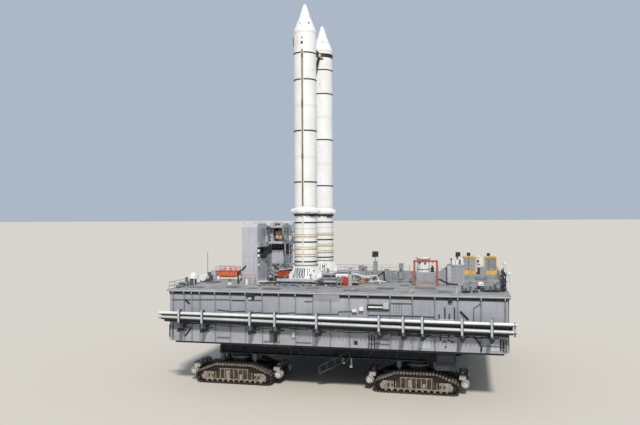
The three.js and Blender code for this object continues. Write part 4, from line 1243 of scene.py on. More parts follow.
    hoses = []
    for k in range(3):
        x = MAST_X + 1.48 + 0.05 * k
        y = side * (5.7 - 0.5 * k)
        hoses.append([(x, y, DECK), (x, y, DECK + 1.2 + 0.5 * k), (x, y - side * 0.2, DECK + 2.6 + 0.4 * k),
                      (x, y - side * 0.3, DECK + 4.6)])
    settle(strands(f"{name}_mast_hoses", hoses, 0.07, curved=True), dull_steel, smooth=60)
    hoses = []
    for k in range(5):
        x = MAST_X - 0.9 + 0.45 * k
        hoses.append([(x, side * 5.2, DECK + 4.8), (x + 0.1, side * 4.7, DECK + 4.9 - 0.2 * (k % 2)),
                      (x, side * 4.5, DECK + 5.4), (x, side * 5.1, DECK + 6)])
    settle(strands(f"{name}_mast_gap_hoses", hoses, 0.07, curved=True), rubber, smooth=60)

    lines = []
    for k in range(3):
        y, z = 8.9 - 0.55 * k, 8.9 - 0.5 * k
        lines.append([(1.42, y, 6.6), (1.42, y, z), (1.42, 6.1, z)])
    lines.append([(1.42, 9.2, 0), (1.42, 9.2, 3.4)])
    lines.append([(-1.45, 9.6, 0), (-1.45, 9.6, 9.2), (-1.2, 9.6, 9.9)])
    lines += [[(-2.3, y, 0), (-1.3, y, 2.9)] for y in (8.9, 6.8)]
    lines = [[(MAST_X + x, side * y, DECK + z) for x, y, z in line] for line in lines]
    settle(strands(f"{name}_mast_pipes", lines, 0.06), pale_steel, smooth=40)

    # Gusset skirts at the outer foot, welded between tower and deck.
    begin(f"{name}_mast_foot")
    for x_side in (-1, 1):
        for y in (6.2, 7.8, 9.6):
            crate(MAST_X + x_side * 1.495, side * y, 0, 0.41, 0.1, 0.7)
    for x_side in (-1, 1):
        tip = MAST_X + x_side * 1.7
        pull((x_side * -0.36, 0, 0), low=(tip - 0.1, -99, DECK + 0.6), high=(tip + 0.1, 99, DECK + 0.8))
    mast_block(side, -1.75, 1.75, 5.5, 10.6, 0, 0.12, 0.02)
    done(light_paint)

    # Bonnet: a plate hood that swings down to cover the opening; two view holes in its front.
    begin(f"{name}_bonnet_trim")
    front = side * 4.45
    z = DECK + 8.85
    block(MAST_X - 1.26, MAST_X + 1.26, front + side * 0.02, front - side * 0.06, z + 0.03, z + 0.4, 0.02)
    block(MAST_X - 0.85, MAST_X + 0.85, front + side * 0.02, front - side * 0.06, z + 0.42, z + 0.98, 0.02)
    for x, low, high in [(-1, 0.55, 0.7), (0, 1.04, 1.12), (1, 0.55, 0.7)]:
        block(MAST_X + x - 0.05, MAST_X + x + 0.05, side * 4.5, side * 5.5, z + low, z + high)
    done(light_paint, f"{name}_mast_bonnet")
    begin(f"{name}_bonnet_view_holes")
    for x in (0, 0.54):
        block(MAST_X + x - 0.24, MAST_X + x + 0.24, front, front - side * 0.09, z + 0.44, z + 0.86, 0.07)
    done(rubber, f"{name}_mast_bonnet")

    # Umbilical plate: quilted blankets over the carrier, with the stubs of its couplings.
    begin(f"{name}_umbilical_couplings")
    face = side * 6.4
    for x, z, r in [(-0.3, 7, 0.09), (0.25, 7.15, 0.08), (0, 7.6, 0.1), (-0.35, 7.9, 0.07),
                    (0.38, 7.75, 0.07)]:
        x, z = MAST_X + x, DECK + z
        rod((x, face + side * 0.05, z), (x, face - side * 0.62, z), r, 14)
        rod((x, face, z), (x, face - side * 0.53, z), r + 0.07, 14)
    done(dull_steel, smooth=35)
    begin(f"{name}_umbilical_quilts")
    for x0, x1, z0, z1 in [
        (-0.58, -0.06, 6.75, 7.35), (0.04, 0.57, 6.8, 7.4), (-0.56, -0.02, 7.42, 8.15),
        (0.06, 0.56, 7.46, 8.1),
    ]:
        mast_block(side, x0, x1, 6.41, 5.9, z0, z1, 0.06)
    done(quilt_tan, smooth=50)

# Valve skid at each mast's foot: a pipe frame at the edge of the hole, with valves, flanges and
# boxes of many sizes hung on it.
for name, side in SIDES.items():
    begin(f"{name}_skid_frame")
    for k in range(7):
        x = -18.3 + 0.92 * k
        deck_block(x - 0.05, x + 0.05, side * 5.3, side * 5.42, 0, 2.3)
    for z in (0.7, 1.45, 2.2):
        rod((-18.35, side * 5.28, DECK + z), (-12.75, side * 5.28, DECK + z), 0.09, 10)
    done(pale_steel, smooth=40)
    for first, (part, paint, slot) in enumerate([
        ("dark", shaded_paint, "bare_steel"),
        ("grey", light_paint, "platform_paint"),
        ("green", cabinet_paint, "platform_paint"),
    ]):
        begin(f"{name}_skid_{part}_valves")
        for k in range(first, 36, 3):
            x = -18.2 + 0.152 * k + 0.1 * math.sin(k * 2.1)
            z = 0.45 + 1.6 * ((k * 7) % 12) / 12
            w, h = 0.2 + 0.09 * (k % 4), 0.16 + 0.08 * ((k * 5) % 4)
            deck_block(x - w / 2, x + w / 2, side * 5.35, side * (4.98 + 0.05 * (k % 3)), z, z + h, 0.04)
        done(paint)

# Gas bottles beside the far mast: tall and narrow cylinders of spun steel in white enamel, with a
# tilted box over them. A frame of square posts and hoops holds them.
begin("mast_gas_bottles")
for x, y, low, high, r in [
    (-12.95, 7.3, 7.9, 9.1, 0.4), (-13.4, 6.7, 6.3, 7.4, 0.25), (-12.95, 8.2, 5.9, 7.2, 0.32),
]:
    shoulder = [(r, high - 0.35), (r * 0.75, high - 0.12), (r * 0.3, high - 0.03), (0.08, high)]
    turn([(0.1, low), (r * 0.7, low + 0.05), (r, low + 0.2), *shoulder], x, y, DECK, sides=24)
bpy.ops.mesh.primitive_cube_add(
    size=1, location=(-13.25, 7.3, DECK + 9.65), rotation=(0, 0.45, 0), scale=(0.95, 0.7, 0.8)
)
bpy.ops.mesh.bevel(offset=0.08, segments=2, affect="EDGES")
done(white_box_paint, smooth=40)
begin("gas_bottle_frame")
for x, y in [(-13.45, 6.6), (-12.45, 6.6), (-13.45, 8.6), (-12.45, 8.6)]:
    crate(x, y, 0, 0.12, 0.12, 9.3)
for z in (2, 4.4, 5.8, 7.3, 9.1):
    for y in (6.6, 8.6):
        deck_block(-13.5, -12.4, y - 0.06, y + 0.06, z, z + 0.12)
    deck_block(-14.1, -12.4, 7.4, 7.8, z, z + 0.08)
done(light_paint)

# Crawler belts: 57 cast steel shoes a belt, pinned end to end, caked with dust and worn bright
# at the edges. One shoe is modelled and carried round the loop.
# Below about 2 m the shoes turn near black: painted shade on the belts' lower runs.
shoe_steel = finish("dusty_cast_shoe_steel_with_painted_shade", "857a6e", "5f554b", "332a24", 0.5, 0.7, metallic=0.25, runs=0.35,
                    grain=0.6, lower_tone=("Object", 1.05, 0.7, "1d1a18"))
CRAWLER_X = -1.8
TRUCK_REACH = 13.72
TRUCKS = {
    "near_left": (CRAWLER_X - TRUCK_REACH, -TRUCK_REACH),
    "near_right": (CRAWLER_X + TRUCK_REACH, -TRUCK_REACH),
    "far_left": (CRAWLER_X - TRUCK_REACH, TRUCK_REACH),
    "far_right": (CRAWLER_X + TRUCK_REACH, TRUCK_REACH),
}
BELT_OFFSET = 2.5
WHEELS = [(-5.1, 1.05, 0.73), (5.1, 1.05, 0.73), (2.75, 2.3, 0.43), (-2.75, 2.3, 0.43)]


def loop_stations(offset, count):
    """Even stations round the wheels: (x, z, outward angle) of each."""
    corners = []
    for i, (x, z, r) in enumerate(WHEELS):
        angles = []
        for first, second in ((WHEELS[i - 1], (x, z, r)), ((x, z, r), WHEELS[(i + 1) % 4])):
            dx, dz = second[0] - first[0], second[1] - first[1]
            angles.append(math.atan2(dz, dx) - math.acos((first[2] - second[2]) / math.hypot(dx, dz)))
        while angles[1] < angles[0]:
            angles[1] += 2 * math.pi
        corners.append((x, z, r + offset, *angles))
    fine = []
    for x, z, r, start, end in corners:
        for k in range(25):
            a = start + (end - start) * k / 24
            fine.append((x + r * math.cos(a), z + r * math.sin(a), a))
    fine.append((*fine[0][:2], fine[0][2] + 2 * math.pi))
    steps = [math.dist(a[:2], b[:2]) for a, b in zip(fine, fine[1:])]
    pitch, stations, walked, k = sum(steps) / count, [], 0, 0
    for i in range(count):
        goal = (i + 0.5) * pitch
        while walked + steps[k] < goal:
            walked += steps[k]
            k += 1
        t = (goal - walked) / steps[k]
        stations.append(tuple(a + (b - a) * t for a, b in zip(fine[k], fine[k + 1])))
    return stations


stations = loop_stations(0.12, 57)
for name, (x, y) in TRUCKS.items():
    outward = math.copysign(BELT_OFFSET, y)
    for belt, offset in (("outer", outward), ("inner", -outward)):
        begin(f"{name}_{belt}_shoes")
        block(-0.195, 0.195, -1.145, 1.145, 0.03, 0.15, 0.03)
        block(-0.1, 0.1, -1.12, 1.12, 0.14, 0.2)
        for edge in (1, -1):
            block(-0.15, 0.15, edge * 0.35, edge * 0.62, -0.14, 0.05)
        for edge in (1, -1):
            block(-0.165, 0.165, edge * 0.92, edge * 1.13, -0.12, 0.05, 0.02)
        shoe = close()
        places = [
            at(x + along, y + offset, z) @ Matrix.Rotation(math.pi / 2 - a, 4, "Y")
            for along, z, a in stations
        ]
        shoes = copies(shoe, places)
        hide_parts(f"{name}_{belt}_belt")
        settle(shoes, shoe_steel, f"{name}_truck")

# Truck frames: cast and welded boxes. The solids stay, painted near black, which is painted shade
# inside the belts. Cream guard plates with rusty pockets close the frame inside each belt, over a row
# of road rollers.
# The crawler's paint is a near black grey: painted shade, for the crawler stands in the platform's shade.
crawler_paint = finish("grimy_crawler_paint_with_painted_shade", "3e3f43", "2c2d30", "3b2c22", 1.6, 0.75, runs=0.6,
                       plates=(2.3, 1.5))
guard_paint = finish("rust_stained_cream_paint", "999285", "70665a", "4f3422", 0.5, 0.75, runs=0.95,
                     grain=0.5)
drum_paint = finish("dirty_white_motor_paint", "c9c8c3", "aaa69d", "5e4a3a", 0.7, 0.6, runs=0.6)
rust = finish("scaled_rusty_steel", "4d3b2d", "2d2620", "1a1614", 0.5, 0.9, runs=0.6, grain=0.6)
frame_shade_black = finish("painted_shade_frame_black", "1e1c1b", "151413", "33291f", 0.5, 0.55, metallic=0.3, runs=0.4)
paint_nodes(frame_shade_black, *[f"{name}_truck_frame" for name in TRUCKS])
for name, (x, y) in TRUCKS.items():
    truck = f"{name}_truck"
    # The guards stand on both outward faces of the truck's frame, inside its belts.
    guarded = [at(x, y - BELT_OFFSET - 0.95), at(x, y + BELT_OFFSET + 0.95, turn=180)]
    begin(f"{name}_guard_plates")
    for end in (-1, 1):
        block(end * 3.2, end * 5.45, -0.1, 0.02, 0.55, 1.74, 0.04)
        tip = end * 5.4
        pull((end * -0.4, 0, 0), low=(tip - 0.06, -1, 0.5), high=(tip + 0.06, 1, 0.65))
        pull((end * -0.6, 0, 0), low=(tip - 0.06, -1, 1.6), high=(tip + 0.06, 1, 1.75))
    for k in range(9):
        post = -2.9 + 0.725 * k
        block(post - 0.06, post + 0.06, -0.15, 0, 0.66, 2.24 if abs(post) < 2.3 else 1.8, 0.02)
    block(-3.3, 3.3, -0.14, 0, 0.62, 0.78, 0.02)
    block(-2.3, 2.3, -0.12, 0, 2.2, 2.32, 0.02)
    block(-1.2, -0.6, -0.13, 0, 0.8, 2, 0.03)
    block(0.9, 1.3, -0.13, 0, 0.8, 1.5, 0.03)
    for hub in (-4.75, 4.75):
        rod((hub, -0.17, 1.1), (hub, 0, 1.1), 0.4, 20)
        rod((hub, -0.2, 1.1), (hub, -0.1, 1.1), 0.16, 10)
    settle(copies(close(), guarded), guard_paint, truck, smooth=30)

    begin(f"{name}_guard_pockets")
    block(-3.2, 3.2, -0.05, 0.02, 0.6, 2.28)
    for end in (-1, 1):
        pull((end * -0.9, 0, 0), low=(end * 3.1 - 0.2, -1, 2.15), high=(end * 3.1 + 0.2, 1, 2.4))
    for k in range(8):
        pocket = -2.54 + 0.725 * k
        low, high = (1, 1.22) if k % 2 else (1.35, 1.6)
        block(pocket - 0.2, pocket + 0.2, -0.1, 0, low, high, 0.02)
    for pocket in (-3.95, -3.4, 3.4, 3.95):
        block(pocket - 0.13, pocket + 0.13, -0.13, 0, 0.95, 1.4, 0.02)
    settle(copies(close(), guarded), rust, truck)

    begin(f"{name}_road_rollers")
    for k in range(11):
        axle = -4.3 + 0.86 * k
        rod((axle, -0.12, 0.5), (axle, 0.1, 0.5), 0.17, 12)
        rod((axle, -0.16, 0.5), (axle, -0.1, 0.5), 0.07, 8)
    settle(copies(close(), guarded), guard_paint, truck, smooth=30)

    # Drive ends: motor drums and gear cases across both ends of the truck, with hoses over them.
    begin(f"{name}_drive_motors")
    for end in (-1, 1):
        for dy in (-1, 1):
            drum = Vector((x + end * 6.78, y + dy * 2.2, 1.55))
            for start, stop, radius, sides in [
                (-0.62, 0.62, 0.56, 20), (dy * 0.6, dy * 0.74, 0.4, 20), (dy * 0.7, dy * 0.82, 0.16, 12),
            ]:
                rod(drum + Vector((0, start, 0)), drum + Vector((0, stop, 0)), radius, sides)
            cases = [(5.95, 6.9, 2, 0.5, 2.05, 2.62, 0.06), (6.2, 6.6, 0.9, 0.3, 2, 2.9, 0.05)]
            for x0, x1, middle, half, low, high, edge in cases:
                out = y + dy * middle
                block(x + end * x0, x + end * x1, out - half, out + half, low, high, edge)
    done(drum_paint, truck, smooth=30)
    begin(f"{name}_gear_cases")
    for end in (-1, 1):
        for out in (y - 1.15, y + 1.15):
            block(x + end * 6.3, x + end * 7.24, out - 0.32, out + 0.32, 0.95, 1.95, 0.08)
        block(x + end * 5.6, x + end * 7, y - 0.75, y + 0.75, 0.72, 2.2, 0.08)
        block(x + end * 6.9, x + end * 7.1, y - 2.4, y + 2.4, 2.2, 2.3)
    done(crawler_paint, truck)
    drive_hoses = []
    for end in (-1, 1):
        for k in range(6):
            dy = -2.1 + 0.84 * k
            path = [(6.7, dy, 2), (7.25, dy + 0.1, 2.35), (6.9, dy + 0.2, 2.9), (5.9, dy * 0.8, 2.75)]
            drive_hoses.append([(x + end * out, y + along, z) for out, along, z in path])
    settle(strands(f"{name}_drive_hoses", drive_hoses, 0.06, curved=True), rubber, truck,
           smooth=60)

# Chassis: the deep girders stay as solids in grimy paint, darkened to near black as painted shade.
# Stiffeners, a catwalk all round, pipes, lamps and two flights of stairs hang on their outer faces.
paint_nodes(crawler_paint, "crawler_chassis", "near_cab", "far_cab", "near_cab_door", "far_cab_door")
CHASSIS_X = 16.6
CHASSIS_Y = 15.4
CATWALK_TOP = 4.58
begin("chassis_stiffeners")
for side in (-1, 1):
    for k in range(19):
        x = CRAWLER_X - 16.2 + 1.8 * k
        block(x - 0.05, x + 0.05, side * (CHASSIS_Y - 0.01), side * (CHASSIS_Y + 0.16), 4.32, 6.18)
    block(CRAWLER_X - 16.58, CRAWLER_X + 16.58, side * (CHASSIS_Y - 0.01), side * (CHASSIS_Y + 0.22), 4.3,
          4.38)
    for k in range(17):
        y = -14.8 + 1.85 * k
        inner, outer = CRAWLER_X + side * (CHASSIS_X - 0.01), CRAWLER_X + side * (CHASSIS_X + 0.16)
        block(inner, outer, y - 0.05, y + 0.05, 4.32, 6.18)
done(crawler_paint)

begin("chassis_catwalk")
for side in (-1, 1):
    block(CRAWLER_X - 16.4, CRAWLER_X + (16.4 if side > 0 else 14.9), side * (CHASSIS_Y + 0.02),
          side * (CHASSIS_Y + 0.95), 4.5, CATWALK_TOP)
    for k in range(12):
        x = CRAWLER_X - 15.9 + 2.75 * k
        block(x - 0.06, x + 0.06, side * (CHASSIS_Y - 0.01), side * (CHASSIS_Y + 0.9), 4.34, 4.5)
    block(CRAWLER_X + side * (CHASSIS_X + 0.02), CRAWLER_X + side * (CHASSIS_X + 0.9), -13, 13, 4.5,
          CATWALK_TOP)
done(crawler_paint)

walk_y = CHASSIS_Y + 0.9
walk_x = CHASSIS_X + 0.85
runs = [
    ((CRAWLER_X - 16.3, -walk_y), (-2.9, -walk_y)), ((-0.4, -walk_y), (13, -walk_y)),
    ((CRAWLER_X - 16.3, walk_y), (CRAWLER_X + 16.3, walk_y)),
    ((CRAWLER_X - walk_x, -12.9), (CRAWLER_X - walk_x, 12.9)),
    ((CRAWLER_X + walk_x, -12.9), (CRAWLER_X + walk_x, 12.9)),
]
settle(hand_rail("chassis_hand_rails", runs, base=CATWALK_TOP, height=1, spacing=1.3), crawler_paint)

STEPS = 10
STAIR_START, STAIR_RUN, STAIR_DROP = -2.21, 4.55, 2.34
begin("chassis_stairs")
for side in (-1, 1):
    x0, y0 = side * STAIR_START, side * (walk_y + 0.1)
    for dy in (-0.38, 0.38):
        for k in range(STEPS):
            xa, za = x0 + side * STAIR_RUN * k / STEPS, 4.52 - STAIR_DROP * k / STEPS
            block(xa, xa + side * 0.47, y0 + dy - 0.03, y0 + dy + 0.03, za - 0.34, za - 0.08)
    for k in range(STEPS):
        xa, za = x0 + side * (0.2 + STAIR_RUN * k / STEPS), 4.5 - STAIR_DROP * k / STEPS
        block(xa, xa + side * 0.3, y0 - 0.36, y0 + 0.36, za - 0.2, za - 0.16)
done(crawler_paint)
stair_rails = []
for side in (-1, 1):
    for dy in (-0.38, 0.38):
        x0, y0 = side * STAIR_START, side * (walk_y + 0.1) + dy
        stair_rails.append([(x0, y0, 5.5), (x0 + side * STAIR_RUN, y0, 3.2)])
        for t in (0, 0.25, 0.5, 0.75, 1):
            x = x0 + side * STAIR_RUN * t
            stair_rails.append([(x, y0, 4.4 - 2.3 * t), (x, y0, 5.5 - 2.3 * t)])
settle(strands("stair_rails", stair_rails, 0.04, rounds=0), dull_steel)

chassis_pipes = []
for side in (-1, 1):
    y = side * (CHASSIS_Y + 0.24)
    chassis_pipes += [
        [(CRAWLER_X - 16, y, 6), (CRAWLER_X + 14.2, y, 6)], [(-5.8, y, 4.76), (-2.5, y, 4.7)],
        [(9.1, y, 5.9), (9.1, y, 4.76), (12.21, y, 4.71)], [(-6.17, y, 5.52), (-5.43, y, 4.77)],
        [(4.8, y, 4.83), (5.82, y, 5.75)], [(-12, y, 5.6), (-7, y, 5.62), (-7, y, 4.6)],
    ]
settle(strands("chassis_pipes", chassis_pipes, 0.07), dull_steel, smooth=40)

# Engine block under the middle: pressed louvres along both sides of the belly box, rusty rolled
# silencers strapped under it, and white lamps on the girders at both sides.
begin("engine_room_louvres")
for side in (-1, 1):
    for k in range(8):
        x = CRAWLER_X - 9.2 + 2.4 * k
        for j in range(3):
            block(x, x + 1.5, side * 9.49, side * 9.58, 3.62 + 0.2 * j, 3.72 + 0.2 * j)
done(dull_steel)
begin("engine_silencers")
for x, y in [(CRAWLER_X + dx, dy) for dx in (-8, 7.6) for dy in (-6, 6)]:
    rod((x - 1.9, y, 3.2), (x + 1.9, y, 3.2), 0.42, 16)
    rod((x - 2.3, y, 3.2), (x + 2.3, y, 3.2), 0.2, 12)
    for strap in (x - 1.2, x + 1.2):
        block(strap - 0.08, strap + 0.08, y - 0.46, y + 0.46, 3.1, 3.52)
done(rust, smooth=30)
begin("chassis_lamps")
for side in (-1, 1):
    y = side * (CHASSIS_Y + 0.9)
    for x, z in [(side * -1.24, 3.9), (side * -2.4, 3.4)]:
        rod((x, y, z), (x, y + side * 0.2, z - 0.1), 0.22, 16)
        rod((x, y - side * 0.12, z + 0.05), (x, y, z), 0.12, 10)
        block(x - 0.05, x + 0.05, y - side * 0.5, y, z + 0.02, 4.52)
done(white_box_paint, smooth=30)

# Guide columns over each truck: a collar ring and four levelling jacks of dull galvanised steel,
# bolted under the chassis.
begin("levelling_jacks")
for x, y in TRUCKS.values():
    for jack_x, jack_y in [(x + dx, y + dy) for dy in (-1.2, 1.2) for dx in (-2.6, 2.6)]:
        rod((jack_x, jack_y, 3.3), (jack_x, jack_y, 4.35), 0.42, 20)
        rod((jack_x, jack_y, 3), (jack_x, jack_y, 3.35), 0.24, 16)
    turn([(1.34, 3.5), (1.62, 3.52), (1.62, 3.8), (1.34, 3.82)], x, y, 0, sides=32, hollow=True)
done(dull_steel, smooth=30)

# Driver's cabs: sheet steel cabins with tinted glass on three sides, rubber-sealed, a sun roof
# plate, a cooler on top and two lamps.
CAB_X, CAB_Y = 17.9, 16.7
glass = finish("tinted_cab_glass", "2f3a3f", "27323a", "4a4a46", 0.7, 0.1, runs=0.08, grain=0.02)
begin("cab_glazing")
for side in (-1, 1):
    cx, cy = CRAWLER_X + side * CAB_X, -side * CAB_Y
    front = cy - side * 1.25
    block(cx - 1.04, cx + 1.04, front - 0.015, front + 0.015, 4.86, 5.84)
    end = cx + side * 1.25
    block(end - 0.015, end + 0.015, cy - 0.94, cy + 0.94, 4.86, 5.84)
done(glass)
for name, side in (("near", 1), ("far", -1)):
    begin(f"{name}_cab_door_glass")
    inner, cy = CRAWLER_X + side * (CAB_X - 1.24), -side * CAB_Y
    block(inner - 0.012, inner + 0.012, cy - 0.275, cy + 0.275, 4.91, 5.69, 0.004)
    done(glass, f"{name}_cab_door")
begin("cab_trim")
for side in (-1, 1):
    cx, cy = CRAWLER_X + side * CAB_X, -side * CAB_Y
    front = cy - side * 1.3
    ys = (front + side * 0.01, front - side * 0.05)
    for x in (-1.08, -0.38, 0.34, 1.04):
        block(cx + x, cx + x + 0.04, *ys, 4.82, 5.88)
    for z in (4.8, 5.84):
        block(cx - 1.1, cx + 1.1, *ys, z, z + 0.05)
    end = cx + side * 1.3
    xs = (end - side * 0.01, end + side * 0.05)
    for y in (-0.98, -0.02, 0.94):
        block(*xs, cy + y, cy + y + 0.04, 4.82, 5.88)
    for z in (4.8, 5.84):
        block(*xs, cy - 1, cy + 1, z, z + 0.05)
    block(cx - 0.6, cx + 0.6, cy - 0.4, cy + 0.5, 6.19, 6.45, 0.05)
    block(cx - 1.34, cx + 1.34, cy - side * 1.4, cy + side * 1.28, 6.2, 6.26)
    for x in (-0.8, 0.8):
        rod((cx + x, front - side * 0.02, 4.2), (cx + x, front - side * 0.2, 4.2), 0.16, 14)
done(crawler_paint)

# White tank: lined steel vessel with a flat cover, lashed on a grey box frame. Two ports and a valve
# block face the near edge.
TANK_X, TANK_Y, TANK_R = 11.83, -0.5, 1.08
paint_nodes(white_box_paint, "deck_tank")
begin("tank_base_cladding")
deck_block(10.72, 14.06, -1.93, 0.93, 0.1, 1.56, 0.04)
for x in (10.9, 11.9, 12.9, 13.8):
    deck_block(x - 0.05, x + 0.05, -1.98, 0.98, 0.14, 1.5)
deck_block(10.66, 14.12, -1.99, 0.99, 0, 0.14, 0.02)
done(wall_paint)
begin("tank_ports")
for dx, z, r in [(-0.52, 17.62, 0.15), (0.34, 17.5, 0.15), (-0.1, 16.5, 0.09)]:
    y = TANK_Y - math.sqrt(TANK_R ** 2 - dx ** 2)
    rod((TANK_X + dx, y + 0.1, z), (TANK_X + dx, y - 0.09, z), r, 14)
deck_block(13.1, 13.6, -1.5, -1, 1.56, 2.35, 0.04)
rod((13.35, -1.25, DECK + 2.3), (13.35, -1.25, DECK + 2.65), 0.12, 12)
done(dark_paint, smooth=35)
begin("tank_straps")
for low, height, inner, outer in [(1.95, 0.14, 1.07, 1.13), (3.2, 0.14, 1.07, 1.13), (3.7, 0.09, 1.2, 1.3)]:
    strap = [(inner, low), (outer, low + 0.01), (outer, low + height - 0.01), (inner, low + height)]
    turn(strap, TANK_X, TANK_Y, DECK, sides=48, hollow=True)
for k in range(12):
    a = k * math.pi / 6
    x, y = TANK_X + 1.13 * math.cos(a), TANK_Y + 1.13 * math.sin(a)
    rod((x, y, DECK + 3.96), (x, y, DECK + 4.02), 0.04, 6)
done(pale_steel, smooth=35)

# Gantry and access stands: square tube in sun-faded orange enamel, bolted to dark foot plates.
# Ribs and kick plates close the stands; boards and folded guard rails lie on top.
stand_orange = finish("sun_faded_orange_enamel", "c45730", "a54a2b", "4b3226", 0.7, 0.55, runs=0.5,
                      grain=0.35)
gantry_orange = finish("scuffed_orange_enamel", "c0522d", "a04427", "4b3226", 0.7, 0.55, runs=0.5, grain=0.35,
                       lower_tone=("Object", 7.4, 7.355, "a9968c"))
paint_nodes(gantry_orange, "tank_gantry")
stand_panel = finish("sun_bleached_orange_panel", "dc7d54", "c06846", "4b3226", 0.7, 0.65, runs=0.45,
                     grain=0.35)
paint_nodes(stand_panel, "left_access_stand")
# The middle stand's panels between its ribs are a darker orange than the ribs: painted shade.
shaded_orange_panel = finish("shade_painted_orange_panel", "b9491f", "97391b", "3a261e", 0.7, 0.65, runs=0.5, grain=0.35)
paint_nodes(shaded_orange_panel, "middle_access_stand")
begin("gantry_fittings")
for x in (10.93, 14.43):
    deck_block(x - 0.26, x + 0.26, -7.76, -7.24, 0, 0.16, 0.03)
    deck_block(x - 0.17, x + 0.17, -7.67, -7.33, 1.3, 1.42)
    deck_block(x - 0.2, x + 0.2, -7.7, -7.3, 3.6, 3.68)
for x in (11.6, 12.68, 13.76):
    rod((x, -7.5, DECK + 3.45), (x, -7.5, DECK + 3.7), 0.07, 8)
done(shaded_paint)
LEFT_STAND = (-24.4, -20.4, -2.8, -0.8, 1.4)
MIDDLE_STAND = (-12.9, -10, -2.4, -0.6, 1.5)
begin("stand_ribs")
for x0, x1, y0, y1, high in (LEFT_STAND, MIDDLE_STAND):
    count = round((x1 - x0) / 0.42)
    for k in range(count + 1):
        x = x0 + (x1 - x0) * k / count
        for y in (y0, y1):
            deck_block(x - 0.04, x + 0.04, y - 0.05, y + 0.05, 0.45, high - 0.05)
    for z in (0.5, high - 0.1):
        for y in (y0 - 0.02, y1 + 0.02):
            deck_block(x0 - 0.05, x1 + 0.05, y - 0.04, y + 0.04, z, z + 0.09)
done(stand_orange)
stand_rails = []
x0, x1, y0, y1, high = LEFT_STAND
top = DECK + high
for y in (y0 + 0.05, y1 - 0.05):
    for k in range(5):
        x = x0 + 0.05 + (x1 - x0 - 0.1) * k / 4
        stand_rails.append([(x, y, top - 0.05), (x, y, top + 0.7)])
    stand_rails += [[(x0 + 0.05, y, top + z), (x1 - 0.05, y, top + z)] for z in (0.35, 0.7)]
settle(strands("stand_rails", stand_rails, 0.035, rounds=0), stand_orange)
begin("stand_awning")
deck_block(-13.3, -9.8, -2.55, -0.5, 1.5, 1.6, 0.02)
pull((0, 0, 0.45), low=(-9.9, -3, DECK + 1.4), high=(-9.7, 0, DECK + 1.7))
done(light_paint)
begin("stand_awning_legs")
for x, high in [(-12.4, 1.6), (-11.3, 1.72), (-9.95, 1.92)]:
    for y in (-2.35, -0.65):
        deck_block(x - 0.04, x + 0.04, y - 0.04, y + 0.04, 1.4, high)
deck_block(-12.9, -12.3, -2.5, -0.6, 1.49, 1.53)
done(stand_orange)

# Enclosure: folded sheet steel housing with a sloped front, screwed panels, a vent column at its
# slope's head and small white units on the roof.
paint_nodes(wall_paint, "deck_enclosure")
ROOF = 3.05  # above the deck
high = DECK + ROOF
begin("enclosure_trim")
for y in (-5.65, -1.15):
    for x in (14.62, 15.5, 16.32, 17.4, 18.42):
        top = high if x > 16.3 else DECK + 1.7 + (x - 14.5) * 0.75
        block(x - 0.04, x + 0.04, y - 0.05, y + 0.05, DECK, top)
    deck_block(14.5, 18.5, y - 0.05, y + 0.05, 0, 0.14)
    block(16.3, 18.5, y - 0.05, y + 0.05, high - 0.1, high)
deck_block(18.48, 18.55, -5.3, -4.2, 0.3, 2.3, 0.02)
deck_block(18.48, 18.55, -3.6, -1.6, 0.5, 1.6, 0.02)
block(16.2, 18.6, -5.7, -1.1, high - 0.02, high + 0.06, 0.02)
done(light_paint)
begin("enclosure_vent_column")
deck_block(15.95, 16.6, -6.35, -5.72, 0, 3.25, 0.05)
for k in range(5):
    deck_block(15.9, 16.65, -6.4, -5.72, 0.5 + 0.62 * k, 0.57 + 0.62 * k)
deck_block(15.8, 16.75, -6.5, -5.6, 3.2, 3.32, 0.03)
done(light_paint)
begin("enclosure_roof_units")
for x, y, w, d, h in [
    (16.9, -5, 0.5, 0.5, 0.55), (17.6, -4.6, 0.7, 0.5, 0.75), (18.2, -3.4, 0.4, 0.7, 0.95),
    (17.1, -2.4, 0.8, 0.6, 0.5),
]:
    crate(x, y, ROOF + 0.04, w, d, h - 0.04, 0.04)
done(white_box_paint)
begin("enclosure_roof_cowls")
for x, y, h in [(16.5, -4.2, 0.8), (17.9, -5.2, 0.6), (17.4, -3.4, 1.1)]:
    rod((x, y, high), (x, y, high + h), 0.07, 10)
    rod((x, y, high + h), (x, y, high + h + 0.18), 0.16, 12)
done(rubber, smooth=35)

# Lifting cages: welded square tube in chipped yellow, mesh on all four sides, a solid kick plate.
# Work lights stand on posts behind them, a white pump unit between them.
safety_yellow = finish("chipped_yellow_enamel", "e6b35e", "cc9a4c", "54463a", 0.6, 0.5, runs=0.45, grain=0.35)
paint_nodes(safety_yellow, "left_work_cage", "right_work_cage")
begin("cage_mesh")
for x0, x1 in [(18.05, 20.35), (22.02, 24.12)]:
    for y in (14.66, 16.34):
        for k in range(17):
            crate(x0 + (x1 - x0) * k / 16, y, 0.8, 0.044, 0.044, 2.4)
        for k in range(16):
            deck_block(x0, x1, y - 0.022, y + 0.022, 0.8 + 0.15 * k, 0.845 + 0.15 * k)
    for x in (x0 - 0.03, x1 + 0.03):
        for k in range(12):
            crate(x, 14.7 + 1.6 * k / 11, 0.8, 0.044, 0.044, 2.4)
        for k in range(8):
            deck_block(x - 0.022, x + 0.022, 14.7, 16.3, 0.8 + 0.3 * k, 0.845 + 0.3 * k)
done(pale_steel)
begin("pump_unit")
deck_block(20.6, 21.45, 14.9, 15.6, 1.2, 3.1, 0.06)
deck_block(20.7, 21.3, 14.6, 14.95, 1.9, 2.7, 0.05)
deck_block(21.4, 21.7, 15, 15.5, 1.3, 2.2, 0.05)
rod((21, 14.8, DECK + 3), (21, 15.4, DECK + 3.3), 0.2, 14)
done(white_box_paint, smooth=30)
begin("pump_unit_base")
